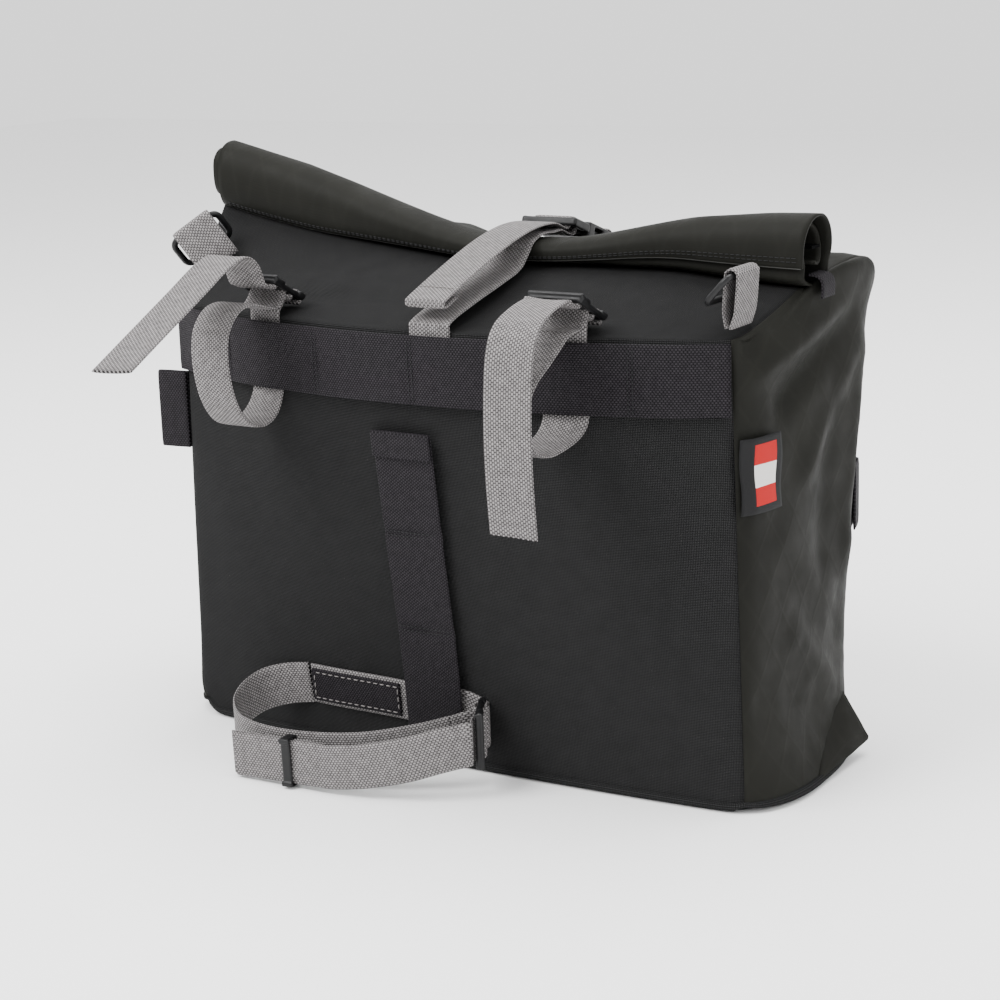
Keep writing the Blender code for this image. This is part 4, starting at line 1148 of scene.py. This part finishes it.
def make_lower_patch():
    """A black patch over the lower strap's sewn end, with box stitching."""
    middle = LAYER + WEB / 2 + GAP + 0.0012
    path = [outward(x, LOWER_Z, middle) for x in steps(-0.0865, -0.024, 30)]
    attach(strap("lower_patch_web", path, LEANING, "black_web", 0.02, 0.0012), "bag", "lower_strap_patch")
    seam = Seam("lower_patch_stitching", "grey_thread", "bag")
    corners = [(-0.0845, 0.0078), (-0.025, 0.0078), (-0.025, -0.0078), (-0.0845, -0.0078)]
    for (x0, z0), (x1, z1) in zip(corners, corners[1:] + corners[:1]):
        count = 12 if x0 != x1 else 4
        line = zip(steps(x0, x1, count), steps(z0, z1, count))
        spots = [outward(x, LOWER_Z + z, middle + 0.0008) for x, z in line]
        seam.row(spots, Vector((0.0, -1.0, -0.08)), 0.0046, 0.003, 0.00032)
    seam.done()


def make_lower_tail(lock):
    """The folded tail that runs back along the loop, and the keeper that slides on it."""
    run = (TAIL_END - TAIL_START).normalized()
    inward = Vector((run.y, -run.x, 0.0))
    path = lock.path(((0.0268, -0.0034), (0.03, -0.0036))) + [Vector(spot) for spot in TAIL_CORNER]
    path += [TAIL_START.lerp(TAIL_END, share) for share in (0.06, 0.25, 0.5, 0.8, 1.0)]
    path += [TAIL_END + run * 0.0012 + inward * 0.0006, TAIL_END + run * 0.0012 + inward * 0.002]
    path += [TAIL_END + inward * 0.0026, TAIL_START + run * 0.006 + inward * 0.0026]
    attach(strap("lower_tail_web", curve_through(path, 6), UP), "lower_buckle", "lower_strap_tail")
    side = -run
    facing = Vector((side.y, -side.x, 0.0)).normalized()
    centre = TAIL_START.lerp(TAIL_END, 0.45) - facing * 0.0013
    place = Matrix.Translation(centre) @ Matrix((side, facing, side.cross(facing))).transposed().to_4x4()
    blocks = [((0.0, y, 0.0), (0.006, 0.0017, 0.0284), 0.0007) for y in (-0.00345, 0.00345)]
    blocks += [((0.0, 0.0, z), (0.006, 0.0086, 0.0012), 0.0005) for z in (-0.0137, 0.0137)]
    blocks += [((0.0, 0.0046, z), (0.0072, 0.0016, 0.003), 0.0007) for z in (-0.0125, 0.0125)]
    attach(fused("keeper_moulding", blocks, place, 0.0004), "strap_keeper", "strap_keeper")


def make_lower_strap():
    v = Vector((0.46, -0.888, 0.0)).normalized()
    lock = BuckleFrame((0.0345, -0.088, 0.0325), v, (-v.y, v.x, 0.0))
    make_ladder_lock("lower_ladder_lock", lock, "lower_buckle", "lower_buckle")
    path = [outward(x, LOWER_Z, LAYER + 0.0005) for x in steps(-0.088, 0.02, 22)]
    path = curve_through(path + lock.path(LOWER_WRAP), 3)
    sides = [LEANING.lerp(UP, smooth((point.x - 0.01) / 0.012)) for point in path]
    attach(strap("lower_anchor_web", path, sides, width=NARROW - 0.001), "bag", "lower_strap_anchor")
    make_lower_patch()
    first = outward(-0.089, LOWER_Z, LAYER + 0.0006)
    path = curve_through([first] + [Vector(spot) for spot in LOWER_LOOP], 8)
    sides = [LEANING.lerp(UP, smooth(i / 14.0)) for i in range(len(path))]
    attach(strap("lower_loop_web", path, sides), "bag", "lower_strap_loop")
    attach(strap("lower_thread_web", curve_through([path[-1]] + lock.path(LOCK_SPOTS), 3), UP),
           "lower_buckle", "lower_strap_thread")
    make_lower_tail(lock)


# ---- side loops, rings, tabs and label
RING_WIRE = 0.0017
LOOP_HALF = 0.0034
LOOP_RISE = 0.03
SIDE_LOOPS = {
    "right": ((0.18, -0.061, 0.2612), (0.08, 0.0, 1.0), (0.0, 1.0, 0.0), 38.0),
    "left": ((-0.166, -0.045, 0.2745), (-0.55, -0.2, 0.8), (0.54, 0.53, 0.65), 36.0),
}


def make_side_fittings():
    """The webbing loops in the upper corners, each with its ring."""
    for side, (foot, rise, width, swing) in SIDE_LOOPS.items():
        up = Vector(rise).normalized()
        across = Vector(width)
        across = (across - up * across.dot(up)).normalized()
        place = Matrix.Translation(foot) @ Matrix((across.cross(up), across, up)).transposed().to_4x4()
        half, bar = LOOP_HALF, LOOP_RISE - LOOP_HALF
        path = [(0.0012, 0.0), (half - 0.0004, 0.007), (half, 0.012), (half, bar)]
        for angle in (30.0, 60.0, 90.0, 120.0, 150.0):
            turn = math.radians(angle)
            path.append((half * math.cos(turn), bar + half * math.sin(turn)))
        path += [(-half, bar), (-half, 0.012), (-half + 0.0004, 0.007), (-0.0012, 0.0)]
        points = curve_through([place @ Vector((x, 0.0, z)) for x, z in path], 3)
        attach(strap(f"{side}_loop_fold", points, across), "bag", f"{side}_side_loop")
        hang = Matrix.Translation((0.0, 0.0, bar)) @ Matrix.Rotation(math.radians(swing), 4, "Y")
        make_ring(side, place @ hang)


def make_ring(side, place):
    """A rounded rectangular ring of thick wire that hangs from its loop."""
    half_bar, drop, corner = 0.016, 0.0185, 0.0045
    corners = [(half_bar - corner, -corner, 0), (half_bar - corner, -drop + corner, -90),
               (-half_bar + corner, -drop + corner, -180), (-half_bar + corner, -corner, -270)]
    outline = []
    for y, z, first in corners:
        for angle in steps(90.0, 0.0, 8):
            turn = math.radians(first + angle)
            outline.append(place @ Vector((0.0, y + corner * math.cos(turn), z + corner * math.sin(turn))))
    facing = place.to_3x3() @ Vector((1.0, 0.0, 0.0))
    ring = tube(f"{side}_ring_moulding", outline, RING_WIRE, "black_plastic", True, 14, 1.15, facing)
    attach(ring, f"{side}_ring", f"{side}_ring")


LEFT_TAB_Z = 0.19
FRONT_TAB_Z = 0.144
TAB_REACH = 0.0145
TAB_ROOT = 0.005       # how far a tab's webbing goes on into its seam


def make_tab(name, node, foot, direction, width):
    """A short folded tab of webbing that stands out of a seam."""
    foot = Vector(foot)
    out = Vector((*direction, 0.0)).normalized()
    beside = Vector((-out.y, out.x, 0.0))
    half = 0.0011
    bend_start = TAB_REACH - half
    path = [foot + beside * half - out * TAB_ROOT, foot + beside * half * 1.3 + out * (TAB_REACH * 0.4),
            foot + beside * half + out * bend_start]
    for angle in (45.0, 90.0, 135.0):
        turn = math.radians(angle)
        path.append(foot + out * (bend_start + half * math.sin(turn)) + beside * half * math.cos(turn))
    path += [foot - beside * half + out * bend_start, foot - beside * half * 1.3 + out * (TAB_REACH * 0.4),
             foot - beside * half - out * TAB_ROOT]
    attach(strap(name, curve_through(path, 5), UP, "black_web", width), "bag", node)


def make_label():
    """A folded woven label in the right seam that lies on the side."""
    rows, lay = [], []
    for z in steps(LABEL_Z, LABEL_Z + LABEL_HEIGHT, 24):
        row = []
        for t in steps(0.0, 1.0, 18):
            y = -0.0668 + t * LABEL_WIDTH
            lift = FABRIC / 2 + 0.0008 + 0.002 * smooth(t / 0.3) + 0.0005 * math.sin(z * 190.0 + t * 3.0)
            row.append(Vector((side_x(y, z) + lift, y, z)))
            lay.append((t * LABEL_WIDTH, z - LABEL_Z))
        rows.append(row)
    attach(cloth("label_weave_piece", rows, "label_red", 0.0007, lay=lay), "bag", "seam_label")


# ---- carried-over mouldings, floor, light and camera
BAG_MIDDLE = Vector((0.0, 0.0, 0.15))
CAMERA_PLACE = Vector((0.672, -1.0635, 0.449))
CAMERA_TARGET = Vector((0.038, -0.0675, 0.157))
CAMERA_ROLL = math.radians(1.9)


def finish_kept_nodes():
    for node in ("back_stiffener", "base_stiffener", "roll_stiffener"):
        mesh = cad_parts[node].data
        mesh.materials.clear()
        mesh.materials.append(MATERIALS["board"])


def make_floor():
    bpy.ops.mesh.primitive_plane_add(size=8.0, location=(0.0, 0.0, -0.0002))
    floor = bpy.context.object
    floor.name = "floor"
    paper = bpy.data.materials.new("pale_floor")
    paper.use_nodes = True
    shader = paper.node_tree.nodes["Principled BSDF"]
    shader.inputs["Base Color"].default_value = (0.92, 0.92, 0.92, 1.0)
    shader.inputs["Roughness"].default_value = 0.9
    floor.data.materials.append(paper)


def make_lamp(name, place, size, power):
    """A soft rectangular lamp that points at the middle of the bag."""
    data = bpy.data.lights.new(name, "AREA")
    data.shape = "RECTANGLE"
    data.size, data.size_y = size
    data.energy = power
    lamp = bpy.data.objects.new(name, data)
    lamp.location = place
    lamp.rotation_euler = (BAG_MIDDLE - Vector(place)).to_track_quat("-Z", "Y").to_euler()
    bpy.context.scene.collection.objects.link(lamp)


def make_light():
    world = bpy.data.worlds.new("soft_studio")
    world.use_nodes = True
    sky = world.node_tree.nodes["Background"]
    sky.inputs["Color"].default_value = (1.0, 1.0, 1.0, 1.0)
    sky.inputs["Strength"].default_value = 1.5
    bpy.context.scene.world = world
    make_lamp("key", (-0.9, -1.4, 1.9), (1.4, 1.4), 90.0)
    make_lamp("top", (0.1, 0.4, 2.1), (1.6, 1.6), 60.0)
    make_lamp("side", (2.0, -0.3, 1.0), (1.0, 1.4), 14.0)


def make_camera():
    data = bpy.data.cameras.new("camera")
    data.lens = 80.0
    data.sensor_width = 36.0
    camera = bpy.data.objects.new("camera", data)
    ahead = (CAMERA_TARGET - CAMERA_PLACE).normalized()
    level = ahead.cross(UP).normalized()
    above = level.cross(ahead)
    right = level * math.cos(CAMERA_ROLL) - above * math.sin(CAMERA_ROLL)
    over = level * math.sin(CAMERA_ROLL) + above * math.cos(CAMERA_ROLL)
    turned = Matrix((right, over, -ahead)).transposed().to_4x4()
    camera.matrix_world = Matrix.Translation(CAMERA_PLACE) @ turned
    bpy.context.scene.collection.objects.link(camera)
    bpy.context.scene.camera = camera


make_camera()
make_walls()
make_base()
make_corner_folds()
make_roll()
make_level_webbing()
make_upright_webbing()
make_handlebar_strap("right", 1)
make_handlebar_strap("left", -1)
make_closure()
make_lower_strap()
make_side_fittings()
make_tab("left_tab_web", "left_side_tab", (-back_half(LEFT_TAB_Z) - 0.0024, -0.0675, LEFT_TAB_Z),
         (-1.0, -0.12), 0.046)
make_tab("front_tab_web", "front_side_tab", (front_half(FRONT_TAB_Z) + 0.0005, 0.0698, FRONT_TAB_Z),
         (-0.3, 0.95), BROAD)
make_label()
finish_kept_nodes()
make_floor()
make_light()
